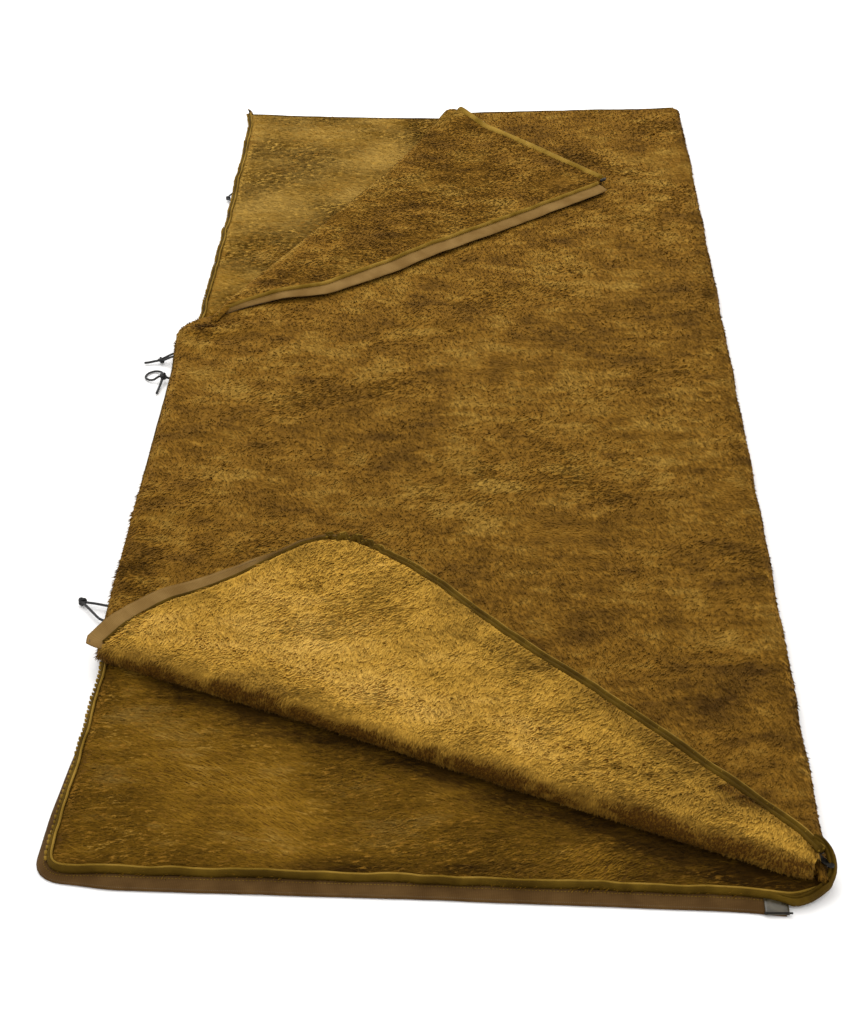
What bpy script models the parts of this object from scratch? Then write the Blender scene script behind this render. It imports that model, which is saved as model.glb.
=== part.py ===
"""Camp blanket that zips into a sleeping-bag liner, lying open with two corners turned back.

One plush sheet is folded double along its right long edge.  A separating zip runs up the left
long edge and round the foot.  Here the head-left and the foot-left corner of the upper layer
are folded back over it, and four black elastic ties hang out of the left seam.

Frame: origin on the ground under the middle of the blanket, +X towards the folded edge,
+Y towards the head, +Z up.  Pieces of the turned-back corners are drawn closed, that is flat
on the lower layer, and their parent empty turns them by half a turn about the crease.
"""

import math

import bmesh
import bpy
from mathutils import Quaternion, Vector

MM = 0.001

# Driving dimensions, in metres.
WIDTH = 0.750
LENGTH = 1.900
LAYER = 12 * MM
LAYER_GAP = 0.5 * MM
CLEARANCE = 0.3 * MM
CORNER_RADIUS = 35 * MM
SOFT_EDGE = 3 * MM

BINDING_WIDTH = 6 * MM
BINDING_HEIGHT = 8 * MM
HEM_WIDTH = 5 * MM
HEM_HEIGHT = 7 * MM
TAPE_WIDTH = 20 * MM
FOLDED_TAPE_WIDTH = 12 * MM
HANGING_TAPE_WIDTH = 16 * MM
TAPE_THICKNESS = 0.8 * MM
COIL_WIDTH = 3 * MM
COIL_HEIGHT = 1.8 * MM
FILM_LENGTH = 22 * MM
FILM_THICKNESS = 0.3 * MM
BINDING_EDGE = 1.5 * MM
CREASE_CLEARANCE = 1 * MM
SEAM_GAP = 4 * MM
STOP_SETBACK = 12 * MM
STOP_LENGTH = 5 * MM
PIN_WIDTH = 2 * MM
PIN_OVERHANG = 3 * MM
METAL_EDGE = 0.4 * MM
RETAINER_LENGTH = 8 * MM
RETAINER_WIDTH = 5 * MM
HEAD_BINDING_SETBACK = 14 * MM
FOOT_BINDING_SETBACK = 15 * MM

HEAD_CREASE_SIDE_Y = 0.115
HEAD_CREASE_HEAD_X = 0.008
FOOT_CREASE_SIDE_Y = -0.624
FOOT_CREASE_FOOT_X = 0.3575
LOWER_ZIP_END_X = 0.334

SLIDER_LENGTH = 12 * MM
SLIDER_WIDTH = 11 * MM
SLIDER_PLATE = 1.1 * MM
SLIDER_CHANNEL = 4.2 * MM
SLIDER_POST = 1.6 * MM
SLIDER_LIP = 0.6 * MM
SLIDER_FROM_CORNER = 17 * MM
ARCH_LENGTH = 7 * MM
ARCH_WIDTH = 2.2 * MM
ARCH_RISE = 2.9 * MM
ARCH_BAR = 0.9 * MM
PULL_LENGTH = 24 * MM
PULL_WIDTH = 7 * MM
PULL_THICKNESS = 1.1 * MM
PULL_EYE_LENGTH = 4.2 * MM
PULL_EYE_WIDTH = 3.6 * MM

ELASTIC_RADIUS = 1.5 * MM
KNOT_RADIUS = 5 * MM

# Worked out from the driving dimensions.
SIDE_X = -WIDTH / 2
FOLD_X = WIDTH / 2
HEAD_Y = LENGTH / 2
FOOT_Y = -LENGTH / 2
LOWER_BOTTOM = 0.0
UPPER_BOTTOM = LAYER + LAYER_GAP
FOLD_AXIS_Z = LAYER + LAYER_GAP / 2
CREASE_AXIS_Z = UPPER_BOTTOM + LAYER + LAYER_GAP / 2
PANEL_INSET = BINDING_WIDTH + CLEARANCE
HEM_INSET = HEM_WIDTH + CLEARANCE
LOWER_TAPE_Z = 4 * MM
UPPER_TAPE_Z = UPPER_BOTTOM + LAYER / 2

HEAD_CREASE_START = Vector((SIDE_X, HEAD_CREASE_SIDE_Y, CREASE_AXIS_Z))
HEAD_CREASE_END = Vector((HEAD_CREASE_HEAD_X, HEAD_Y, CREASE_AXIS_Z))
FOOT_CREASE_START = Vector((SIDE_X, FOOT_CREASE_SIDE_Y, CREASE_AXIS_Z))
FOOT_CREASE_END = Vector((FOOT_CREASE_FOOT_X, FOOT_Y, CREASE_AXIS_Z))

PLUSH = ("plush", (0.23, 0.13, 0.03, 1.0), 0.95, 0.0)
PLUSH_INSIDE = ("plush_inside", (0.42, 0.26, 0.07, 1.0), 0.95, 0.0)
BINDING = ("binding", (0.12, 0.09, 0.015, 1.0), 0.9, 0.0)
TAPE = ("zip_tape", (0.27, 0.15, 0.06, 1.0), 0.7, 0.0)
COIL = ("zip_coil", (0.10, 0.06, 0.02, 1.0), 0.4, 0.0)
FILM = ("end_film", (0.35, 0.33, 0.27, 1.0), 0.25, 0.0)
DARK_METAL = ("dark_metal", (0.03, 0.03, 0.025, 1.0), 0.35, 0.8)
ELASTIC = ("elastic", (0.012, 0.012, 0.012, 1.0), 0.6, 0.0)


class Body:
    """A group of pieces that moves as one: its reference point and its parent empty."""

    def __init__(self, name="", origin=(0.0, 0.0, 0.0), parent=None, turn=None):
        self.origin = Vector(origin)
        self.empty = None
        if not name:
            return
        self.empty = bpy.data.objects.new(name, None)
        bpy.context.scene.collection.objects.link(self.empty)
        parent_origin = Vector((0.0, 0.0, 0.0))
        if parent and parent.empty:
            self.empty.parent = parent.empty
            parent_origin = parent.origin
        self.empty.location = self.origin - parent_origin
        if turn:
            self.empty.rotation_mode = "QUATERNION"
            self.empty.rotation_quaternion = turn


def clear_scene():
    """Remove every object that the start-up file holds."""
    for item in list(bpy.data.objects):
        bpy.data.objects.remove(item, do_unlink=True)


def material(finish):
    """Return the Principled material for one finish, made once."""
    name, colour, roughness, metallic = finish
    found = bpy.data.materials.get(name)
    if found:
        return found
    made = bpy.data.materials.new(name)
    made.use_nodes = True
    shader = made.node_tree.nodes["Principled BSDF"]
    shader.inputs["Base Color"].default_value = colour
    shader.inputs["Roughness"].default_value = roughness
    shader.inputs["Metallic"].default_value = metallic
    return made


def place(name, data, finish, body):
    """Link an object to the scene under its body's empty."""
    piece = bpy.data.objects.new(name, data)
    piece.data.materials.append(material(finish))
    bpy.context.scene.collection.objects.link(piece)
    if body.empty:
        piece.parent = body.empty
    return piece


def mesh_from(bm, name, shift):
    """Turn a bmesh into a mesh with outward faces, moved by shift."""
    bmesh.ops.recalc_face_normals(bm, faces=bm.faces)
    bmesh.ops.translate(bm, verts=bm.verts, vec=shift)
    mesh = bpy.data.meshes.new(name)
    bm.to_mesh(mesh)
    bm.free()
    return mesh


def prism(name, outline, bottom, top, finish, body, soft=0.0, segments=2):
    """Make a flat piece from an outline in plan, with softened rims where soft is given."""
    bm = bmesh.new()
    ring = [bm.verts.new((x, y, bottom)) for x, y in outline]
    base = bm.faces.new(ring)
    raised = bmesh.ops.extrude_face_region(bm, geom=[base])["geom"]
    lifted = [item for item in raised if isinstance(item, bmesh.types.BMVert)]
    bmesh.ops.translate(bm, verts=lifted, vec=(0.0, 0.0, top - bottom))
    if soft > 0.0:
        rims = [edge for edge in bm.edges
                if abs(edge.verts[0].co.z - edge.verts[1].co.z) < soft * 0.01]
        bmesh.ops.bevel(bm, geom=rims, offset=soft, segments=segments, profile=0.5,
                        affect="EDGES")
    return place(name, mesh_from(bm, name, -body.origin), finish, body)


def box(name, low, high, finish, body, soft=0.0):
    """Make a box between two corners."""
    outline = [(low[0], low[1]), (high[0], low[1]), (high[0], high[1]), (low[0], high[1])]
    return prism(name, outline, low[2], high[2], finish, body, soft, 1)


def corner_arc(radius, steps=8, start=math.pi, end=1.5 * math.pi):
    """Points of the foot-left corner's arc, from the side edge round to the foot edge."""
    centre_x = SIDE_X + CORNER_RADIUS
    centre_y = FOOT_Y + CORNER_RADIUS
    points = []
    for index in range(steps + 1):
        share = index / steps
        angle = start + (end - start) * share
        reach = radius(share) if callable(radius) else radius
        points.append((centre_x + reach * math.cos(angle), centre_y + reach * math.sin(angle)))
    return points


def corner_band(name, inner, outer, bottom, top, finish, body):
    """Make the quarter ring that a binding or a tape follows round the foot-left corner."""
    outline = corner_arc(outer) + list(reversed(corner_arc(inner)))
    return prism(name, outline, bottom, top, finish, body)


def crease_x(start, end, y, margin):
    """X of the crease at height y, moved by margin away from it (plus is towards +X)."""
    share = (y - start.y) / (end.y - start.y)
    return start.x + (end.x - start.x) * share + margin


def crease_y(start, end, x, margin):
    """Y of the crease at place x, moved by margin."""
    share = (x - start.x) / (end.x - start.x)
    return start.y + (end.y - start.y) * share + margin


def half_turn(start, end):
    """The rotation by half a turn about a crease."""
    return Quaternion((end - start).normalized(), math.pi)


def make_lower_layer(root):
    """The lower layer, its bindings, head hem and the half of the zip sewn to it."""
    edge = SIDE_X + PANEL_INSET
    foot = FOOT_Y + PANEL_INSET
    head = HEAD_Y - HEM_INSET
    outline = corner_arc(CORNER_RADIUS - PANEL_INSET)
    outline += [(FOLD_X, foot), (FOLD_X, head), (edge, head)]
    prism("lower_panel", outline, LOWER_BOTTOM, LOWER_BOTTOM + LAYER, PLUSH_INSIDE, root, SOFT_EDGE)

    corner_x = SIDE_X + CORNER_RADIUS
    corner_y = FOOT_Y + CORNER_RADIUS
    binding_low = LOWER_BOTTOM + (LAYER - BINDING_HEIGHT) / 2
    binding_top = binding_low + BINDING_HEIGHT
    box("lower_side_binding", (SIDE_X, corner_y + CLEARANCE, binding_low),
        (SIDE_X + BINDING_WIDTH, HEAD_Y, binding_top), BINDING, root, BINDING_EDGE)
    box("lower_foot_binding", (corner_x + CLEARANCE, FOOT_Y, binding_low),
        (FOLD_X, FOOT_Y + BINDING_WIDTH, binding_top), BINDING, root, BINDING_EDGE)
    corner_band("lower_corner_binding", CORNER_RADIUS - BINDING_WIDTH, CORNER_RADIUS,
                binding_low, binding_top, BINDING, root)
    hem_low = LOWER_BOTTOM + (LAYER - HEM_HEIGHT) / 2
    box("lower_head_hem", (SIDE_X + BINDING_WIDTH + CLEARANCE, HEAD_Y - HEM_WIDTH, hem_low),
        (FOLD_X, HEAD_Y, hem_low + HEM_HEIGHT), BINDING, root, BINDING_EDGE)

    tape_low = LOWER_TAPE_Z - TAPE_THICKNESS / 2
    tape_top = LOWER_TAPE_Z + TAPE_THICKNESS / 2
    side_in = SIDE_X - CLEARANCE
    side_out = side_in - TAPE_WIDTH
    foot_in = FOOT_Y - CLEARANCE
    foot_out = foot_in - TAPE_WIDTH
    stop_start = HEAD_Y - STOP_SETBACK
    film_start = LOWER_ZIP_END_X - FILM_LENGTH
    box("lower_side_tape", (side_out, corner_y + CLEARANCE, tape_low),
        (side_in, HEAD_Y, tape_top), TAPE, root)
    box("lower_foot_tape", (corner_x + CLEARANCE, foot_out, tape_low),
        (LOWER_ZIP_END_X, foot_in, tape_top), TAPE, root)
    inner = CORNER_RADIUS + CLEARANCE
    corner_band("lower_corner_tape", inner, inner + TAPE_WIDTH, tape_low, tape_top, TAPE, root)

    coil_top = tape_low - CLEARANCE
    coil_low = coil_top - COIL_HEIGHT
    box("lower_side_coil", (side_out, corner_y + CLEARANCE, coil_low),
        (side_out + COIL_WIDTH, stop_start - CLEARANCE, coil_top), COIL, root)
    box("lower_foot_coil", (corner_x + CLEARANCE, foot_out, coil_low),
        (film_start - CLEARANCE, foot_out + COIL_WIDTH, coil_top), COIL, root)
    box("lower_top_stop", (side_out, stop_start, coil_low),
        (side_out + COIL_WIDTH, stop_start + STOP_LENGTH, coil_top), DARK_METAL, root)
    box("lower_end_film", (film_start, foot_out, tape_top + CLEARANCE),
        (LOWER_ZIP_END_X, foot_in, tape_top + CLEARANCE + FILM_THICKNESS), FILM, root)
    box("insertion_pin", (film_start, foot_out, coil_low),
        (LOWER_ZIP_END_X + PIN_OVERHANG, foot_out + PIN_WIDTH, coil_top), DARK_METAL, root, METAL_EDGE)


def make_upper_layer(upper):
    """The part of the upper layer that stays down, with its hanging tape and head hem."""
    edge = SIDE_X + PANEL_INSET
    head = HEAD_Y - HEM_INSET
    foot = FOOT_Y + CLEARANCE
    top = UPPER_BOTTOM + LAYER
    head_crease = (HEAD_CREASE_START, HEAD_CREASE_END)
    foot_crease = (FOOT_CREASE_START, FOOT_CREASE_END)
    clear = CREASE_CLEARANCE
    outline = [
        (edge, crease_y(*foot_crease, edge, clear)),
        (crease_x(*foot_crease, foot, 2 * clear), foot),
        (FOLD_X, foot),
        (FOLD_X, head),
        (crease_x(*head_crease, head, clear), head),
        (edge, crease_y(*head_crease, edge, -2 * clear)),
    ]
    prism("upper_panel", outline, UPPER_BOTTOM, top, PLUSH, upper, SOFT_EDGE)

    run_start = FOOT_CREASE_SIDE_Y + SEAM_GAP
    run_end = HEAD_CREASE_SIDE_Y - SEAM_GAP
    binding_low = UPPER_BOTTOM + (LAYER - BINDING_HEIGHT) / 2
    box("upper_side_binding", (SIDE_X, run_start, binding_low),
        (SIDE_X + BINDING_WIDTH, run_end, binding_low + BINDING_HEIGHT), BINDING, upper, BINDING_EDGE)

    tape_out = SIDE_X - CLEARANCE - TAPE_THICKNESS
    tape_top = UPPER_BOTTOM + LAYER
    tape_low = tape_top - HANGING_TAPE_WIDTH
    box("upper_side_tape", (tape_out, run_start, tape_low),
        (SIDE_X - CLEARANCE, run_end, tape_top), TAPE, upper)
    coil_in = tape_out - CLEARANCE
    box("upper_side_coil", (coil_in - COIL_HEIGHT, run_start, tape_low),
        (coil_in, run_end, tape_low + COIL_WIDTH), COIL, upper)
    hem_low = UPPER_BOTTOM + (LAYER - HEM_HEIGHT) / 2
    box("upper_head_hem", (HEAD_CREASE_HEAD_X + 2 * clear, HEAD_Y - HEM_WIDTH, hem_low),
        (FOLD_X, HEAD_Y, hem_low + HEM_HEIGHT), BINDING, upper, BINDING_EDGE)


def make_head_flap(flap):
    """The head-left corner of the upper layer, drawn closed."""
    edge = SIDE_X + PANEL_INSET
    head = HEAD_Y - HEM_INSET
    clear = CREASE_CLEARANCE
    crease = (HEAD_CREASE_START, HEAD_CREASE_END)
    outline = [
        (edge, crease_y(*crease, edge, clear)),
        (crease_x(*crease, head, -clear), head),
        (edge, head),
    ]
    top = UPPER_BOTTOM + LAYER
    prism("head_flap", outline, UPPER_BOTTOM, top, PLUSH_INSIDE, flap, SOFT_EDGE)

    run_start = HEAD_CREASE_SIDE_Y + HEAD_BINDING_SETBACK
    binding_low = UPPER_BOTTOM + (LAYER - BINDING_HEIGHT) / 2
    box("head_flap_binding", (SIDE_X, run_start, binding_low),
        (SIDE_X + BINDING_WIDTH, HEAD_Y, binding_low + BINDING_HEIGHT), BINDING, flap, BINDING_EDGE)
    hem_low = UPPER_BOTTOM + (LAYER - HEM_HEIGHT) / 2
    box("head_flap_hem", (SIDE_X + BINDING_WIDTH + CLEARANCE, HEAD_Y - HEM_WIDTH, hem_low),
        (HEAD_CREASE_HEAD_X - HEM_WIDTH, HEAD_Y, hem_low + HEM_HEIGHT), BINDING, flap, BINDING_EDGE)

    tape_low = UPPER_TAPE_Z - TAPE_THICKNESS / 2
    tape_top = UPPER_TAPE_Z + TAPE_THICKNESS / 2
    side_in = SIDE_X - CLEARANCE
    side_out = side_in - TAPE_WIDTH
    stop_start = HEAD_Y - STOP_SETBACK
    box("head_flap_tape", (side_out, HEAD_CREASE_SIDE_Y + 2 * clear, tape_low),
        (side_in, HEAD_Y, tape_top), TAPE, flap)
    coil_low = tape_top + CLEARANCE
    coil_top = coil_low + COIL_HEIGHT
    box("head_flap_coil", (side_out, HEAD_CREASE_SIDE_Y + 2 * clear, coil_low),
        (side_out + COIL_WIDTH, stop_start - CLEARANCE, coil_top), COIL, flap)
    box("head_flap_top_stop", (side_out, stop_start, coil_low),
        (side_out + COIL_WIDTH, stop_start + STOP_LENGTH, coil_top), DARK_METAL, flap)


def make_foot_flap(flap):
    """The foot-left corner of the upper layer, drawn closed, with its half of the zip."""
    edge = SIDE_X + PANEL_INSET
    foot = FOOT_Y + PANEL_INSET
    clear = CREASE_CLEARANCE
    crease = (FOOT_CREASE_START, FOOT_CREASE_END)
    outline = [(edge, crease_y(*crease, edge, -clear))]
    outline += corner_arc(CORNER_RADIUS - PANEL_INSET)
    outline += [(crease_x(*crease, foot, -2 * clear), foot)]
    top = UPPER_BOTTOM + LAYER
    prism("foot_flap", outline, UPPER_BOTTOM, top, PLUSH_INSIDE, flap, SOFT_EDGE)

    corner_x = SIDE_X + CORNER_RADIUS
    corner_y = FOOT_Y + CORNER_RADIUS
    side_end = FOOT_CREASE_SIDE_Y - SEAM_GAP
    foot_end = FOOT_CREASE_FOOT_X - FOOT_BINDING_SETBACK
    binding_low = UPPER_BOTTOM + (LAYER - BINDING_HEIGHT) / 2
    binding_top = binding_low + BINDING_HEIGHT
    box("foot_flap_side_binding", (SIDE_X, corner_y + CLEARANCE, binding_low),
        (SIDE_X + BINDING_WIDTH, side_end, binding_top), BINDING, flap, BINDING_EDGE)
    box("foot_flap_foot_binding", (corner_x + CLEARANCE, FOOT_Y, binding_low),
        (foot_end, FOOT_Y + BINDING_WIDTH, binding_top), BINDING, flap, BINDING_EDGE)
    corner_band("foot_flap_corner_binding", CORNER_RADIUS - BINDING_WIDTH, CORNER_RADIUS,
                binding_low, binding_top, BINDING, flap)

    tape_low = UPPER_TAPE_Z - TAPE_THICKNESS / 2
    tape_top = UPPER_TAPE_Z + TAPE_THICKNESS / 2
    side_in = SIDE_X - CLEARANCE
    side_out = side_in - TAPE_WIDTH
    foot_in = FOOT_Y - CLEARANCE
    foot_out = foot_in - FOLDED_TAPE_WIDTH
    tape_end = FOOT_CREASE_FOOT_X - clear
    box("foot_flap_side_tape", (side_out, corner_y + CLEARANCE, tape_low),
        (side_in, FOOT_CREASE_SIDE_Y - clear, tape_top), TAPE, flap)
    box("foot_flap_foot_tape", (corner_x + CLEARANCE, foot_out, tape_low),
        (tape_end, foot_in, tape_top), BINDING, flap)
    inner = CORNER_RADIUS + CLEARANCE

    def tape_reach(share):
        return inner + TAPE_WIDTH + (FOLDED_TAPE_WIDTH - TAPE_WIDTH) * share

    corner_band("foot_flap_corner_tape", inner, tape_reach, tape_low, tape_top, TAPE, flap)

    coil_low = tape_top + CLEARANCE
    coil_top = coil_low + COIL_HEIGHT
    box("foot_flap_side_coil", (side_out, corner_y + CLEARANCE, coil_low),
        (side_out + COIL_WIDTH, FOOT_CREASE_SIDE_Y - clear, coil_top), COIL, flap)
    box_start = tape_end - RETAINER_LENGTH
    box("foot_flap_foot_coil", (corner_x + CLEARANCE, foot_out, coil_low),
        (box_start - CLEARANCE, foot_out + COIL_WIDTH, coil_top), COIL, flap)
    box("retainer_box", (box_start, foot_out, coil_low),
        (tape_end, foot_out + RETAINER_WIDTH, coil_top), DARK_METAL, flap, METAL_EDGE)


def make_slider(slider):
    """The zip slider: two plates with lips, joined by a post, and the arch that holds the pull.

    Its travel is along X in the closed frame, and its pull side faces the inside of the bag,
    which is downwards there and upwards once the corner is turned back.
    """
    half_channel = SLIDER_CHANNEL / 2
    half_width = SLIDER_WIDTH / 2
    half_post = SLIDER_POST / 2
    outer = half_channel + SLIDER_PLATE
    section = [
        (-half_width, -outer), (half_width, -outer),
        (half_width, -half_channel + SLIDER_LIP), (half_width - SLIDER_PLATE, -half_channel + SLIDER_LIP),
        (half_width - SLIDER_PLATE, -half_channel), (half_post, -half_channel),
        (half_post, half_channel), (half_width - SLIDER_PLATE, half_channel),
        (half_width - SLIDER_PLATE, half_channel - SLIDER_LIP), (half_width, half_channel - SLIDER_LIP),
        (half_width, outer), (-half_width, outer),
        (-half_width, half_channel - SLIDER_LIP), (-half_width + SLIDER_PLATE, half_channel - SLIDER_LIP),
        (-half_width + SLIDER_PLATE, half_channel), (-half_post, half_channel),
        (-half_post, -half_channel), (-half_width + SLIDER_PLATE, -half_channel),
        (-half_width + SLIDER_PLATE, -half_channel + SLIDER_LIP), (-half_width, -half_channel + SLIDER_LIP),
    ]
    bm = bmesh.new()
    ring = [bm.verts.new((-SLIDER_LENGTH / 2, y, z)) for y, z in section]
    cap = bm.faces.new(ring)
    made = bmesh.ops.extrude_face_region(bm, geom=[cap])["geom"]
    moved = [item for item in made if isinstance(item, bmesh.types.BMVert)]
    bmesh.ops.translate(bm, verts=moved, vec=(SLIDER_LENGTH, 0.0, 0.0))
    place("slider_body", mesh_from(bm, "slider_body", Vector()), DARK_METAL, slider)

    foot = -outer - CLEARANCE
    half = ARCH_LENGTH / 2
    profile = [(-half, foot), (-half, foot - ARCH_RISE), (half, foot - ARCH_RISE), (half, foot),
               (half - ARCH_BAR, foot), (half - ARCH_BAR, foot - ARCH_RISE + ARCH_BAR),
               (-half + ARCH_BAR, foot - ARCH_RISE + ARCH_BAR), (-half + ARCH_BAR, foot)]
    bm = bmesh.new()
    ring = [bm.verts.new((x, -ARCH_WIDTH / 2, z)) for x, z in profile]
    cap = bm.faces.new(ring)
    made = bmesh.ops.extrude_face_region(bm, geom=[cap])["geom"]
    moved = [item for item in made if isinstance(item, bmesh.types.BMVert)]
    bmesh.ops.translate(bm, verts=moved, vec=(0.0, ARCH_WIDTH, 0.0))
    place("slider_arch", mesh_from(bm, "slider_arch", Vector()), DARK_METAL, slider)


def make_pull(pull):
    """The pull tab, whose eye goes round the arch; it lies towards the end of the zip."""
    half = PULL_WIDTH / 2
    back = -1.0 * MM
    bm = bmesh.new()
    low = -PULL_THICKNESS / 2
    outer = [(back, -half), (back + PULL_LENGTH - 2 * MM, -half), (back + PULL_LENGTH, -half + 2 * MM),
             (back + PULL_LENGTH, half - 2 * MM), (back + PULL_LENGTH - 2 * MM, half), (back, half)]
    hole_start = back + 1.2 * MM
    hole_end = hole_start + PULL_EYE_LENGTH
    hole = [(hole_start, -PULL_EYE_WIDTH / 2), (hole_end, -PULL_EYE_WIDTH / 2),
            (hole_end, PULL_EYE_WIDTH / 2), (hole_start, PULL_EYE_WIDTH / 2)]
    outer_verts = [bm.verts.new((x, y, low)) for x, y in outer]
    hole_verts = [bm.verts.new((x, y, low)) for x, y in hole]
    edges = []
    for ring in (outer_verts, hole_verts):
        for index, vert in enumerate(ring):
            edges.append(bm.edges.new((vert, ring[(index + 1) % len(ring)])))
    filled = bmesh.ops.triangle_fill(bm, use_beauty=True, edges=edges)["geom"]
    faces = [item for item in filled if isinstance(item, bmesh.types.BMFace)]
    made = bmesh.ops.extrude_face_region(bm, geom=faces)["geom"]
    moved = [item for item in made if isinstance(item, bmesh.types.BMVert)]
    bmesh.ops.translate(bm, verts=moved, vec=(0.0, 0.0, PULL_THICKNESS))
    place("slider_pull", mesh_from(bm, "slider_pull", Vector()), DARK_METAL, pull)


def smooth_route(points, step):
    """Points about a step apart on a smooth curve (Catmull-Rom) through the given points."""
    knots = [Vector(point) for point in points]
    knots = [2 * knots[0] - knots[1]] + knots + [2 * knots[-1] - knots[-2]]
    route = [knots[1]]
    for index in range(1, len(knots) - 2):
        before, start, end, after = knots[index - 1:index + 3]
        pieces = max(1, round((end - start).length / step))
        for count in range(1, pieces + 1):
            t = count / pieces
            route.append(0.5 * (2 * start + (end - before) * t
                                + (2 * before - 5 * start + 4 * end - after) * t ** 2
                                + (3 * start - before - 3 * end + after) * t ** 3))
    return route


def elastic(name, points, body):
    """Make one round strand of elastic cord along a route."""
    route = smooth_route(points, 2.4 * 2 * ELASTIC_RADIUS)
    curve = bpy.data.curves.new(name, "CURVE")
    curve.dimensions = "3D"
    curve.bevel_depth = ELASTIC_RADIUS
    curve.bevel_resolution = 2
    curve.use_fill_caps = True
    spline = curve.splines.new("POLY")
    spline.points.add(len(route) - 1)
    for item, point in zip(spline.points, route):
        item.co = (*(point - body.origin), 1.0)
    return place(name, curve, ELASTIC, body)


def knot(name, centre, size, body):
    """Make one overhand knot as a rounded lump, size being its half lengths."""
    bm = bmesh.new()
    bmesh.ops.create_uvsphere(bm, u_segments=12, v_segments=8, radius=1.0)
    bmesh.ops.scale(bm, verts=bm.verts, vec=size)
    piece = place(name, mesh_from(bm, name, Vector(centre) - body.origin), ELASTIC, body)
    piece.data.shade_smooth()
    return piece


def make_ties(root, upper):
    """The four elastic ties: each is two strands, or a strand and a ring, with a knot."""
    low = 6.4 * MM
    seam = SIDE_X - CLEARANCE

    elastic("foot_tie_strand_1", [(seam, -0.506, low), (-0.3840, -0.5058, low), (-0.3975, -0.502, low),
                                  (-0.4093, -0.4983, 5.4 * MM)], root)
    elastic("foot_tie_strand_2", [(seam, -0.536, low), (-0.3800, -0.5358, low), (-0.3890, -0.5310, low),
                                  (-0.3990, -0.5185, low), (-0.4112, -0.5018, 5.6 * MM)], root)
    knot("foot_tie_knot", (-0.4145, -0.4965, 5.2 * MM), (KNOT_RADIUS, KNOT_RADIUS, KNOT_RADIUS), root)

    elastic("lower_tie_strand", [(seam, 0.0230, low), (-0.3806, 0.0228, low), (-0.3860, 0.0222, low)], root)
    knot("lower_tie_knot", (-0.3925, 0.0215, 9.9 * MM), (6 * MM, 5 * MM, 4 * MM), root)
    elastic("lower_tie_ring", [(-0.3992, 0.0228, 8.4 * MM), (-0.4060, 0.0205, 4.8 * MM),
                               (-0.4135, 0.0235, 3.0 * MM), (-0.4190, 0.0320, 2.2 * MM),
                               (-0.4165, 0.0425, 2.2 * MM), (-0.4080, 0.0480, 2.4 * MM),
                               (-0.4000, 0.0445, 3.6 * MM), (-0.3962, 0.0360, 6.4 * MM),
                               (-0.3935, 0.0292, 8.6 * MM)], root)

    hanging = SIDE_X - 2 * CLEARANCE - TAPE_THICKNESS
    elastic("upper_tie_strand_1", [(hanging, 0.0700, 15.0 * MM), (-0.3830, 0.0700, 14.2 * MM),
                                   (-0.3905, 0.0704, 11.4 * MM), (-0.3978, 0.0710, 7.8 * MM)], upper)
    elastic("upper_tie_strand_2", [(hanging, 0.0800, 15.0 * MM), (-0.3835, 0.0795, 14.0 * MM),
                                   (-0.3912, 0.0786, 11.0 * MM), (-0.3982, 0.0774, 7.8 * MM)], upper)
    knot("upper_tie_knot", (-0.4030, 0.0735, 5.6 * MM), (5.0 * MM, 4.8 * MM, 4.6 * MM), upper)

    elastic("head_tie_strand_1", [(seam, 0.640, low), (-0.3790, 0.6392, low), (-0.3828, 0.6360, 7.4 * MM),
                                  (-0.3845, 0.6300, 8.6 * MM)], root)
    elastic("head_tie_strand_2", [(seam, 0.612, low), (-0.3785, 0.6122, low), (-0.3822, 0.6140, 7.4 * MM),
                                  (-0.3842, 0.6175, 8.6 * MM)], root)
    knot("head_tie_knot", (-0.3850, 0.6235, 9.2 * MM), (4.6 * MM, 4.2 * MM, 4.2 * MM), root)


def main():
    """Build the blanket."""
    clear_scene()
    root = Body()
    upper = Body("upper_hinge", (FOLD_X, 0.0, FOLD_AXIS_Z), root)
    head = Body("head_hinge", HEAD_CREASE_START, upper, half_turn(HEAD_CREASE_START, HEAD_CREASE_END))
    foot = Body("foot_hinge", FOOT_CREASE_START, upper, half_turn(FOOT_CREASE_START, FOOT_CREASE_END))
    track = Vector((FOOT_CREASE_FOOT_X - SLIDER_FROM_CORNER,
                    FOOT_Y - CLEARANCE - FOLDED_TAPE_WIDTH - SLIDER_POST / 2 - CLEARANCE,
                    UPPER_TAPE_Z + 0.7 * MM))
    slider = Body("slider_track", track, foot)
    arch_inside = SLIDER_CHANNEL / 2 + SLIDER_PLATE + CLEARANCE
    arch_room = ARCH_RISE - ARCH_BAR
    pivot = track - Vector((0.0, 0.0, arch_inside + arch_room / 2))
    pull = Body("pull_pivot", pivot, slider)

    make_lower_layer(root)
    make_upper_layer(upper)
    make_head_flap(head)
    make_foot_flap(foot)
    make_slider(slider)
    make_pull(pull)
    make_ties(root, upper)


if __name__ == "__main__":
    main()
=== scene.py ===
"""Camp blanket that zips into a sleeping-bag liner, lying open with two corners turned back.

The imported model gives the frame: a lower layer, an upper layer hinged at the folded edge, two
turned-back corners hinged at their creases, a zip slider and its pull.  This script dresses it:
plush sheets with a pile of tufts, sewn edge bindings, woven zip tapes with coils, and elastic ties.
"""

from __future__ import annotations

import logging
import math
from dataclasses import dataclass, field
from enum import Enum

import bmesh
import bpy
import numpy as np
from mathutils import Matrix, Vector, noise


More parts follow.
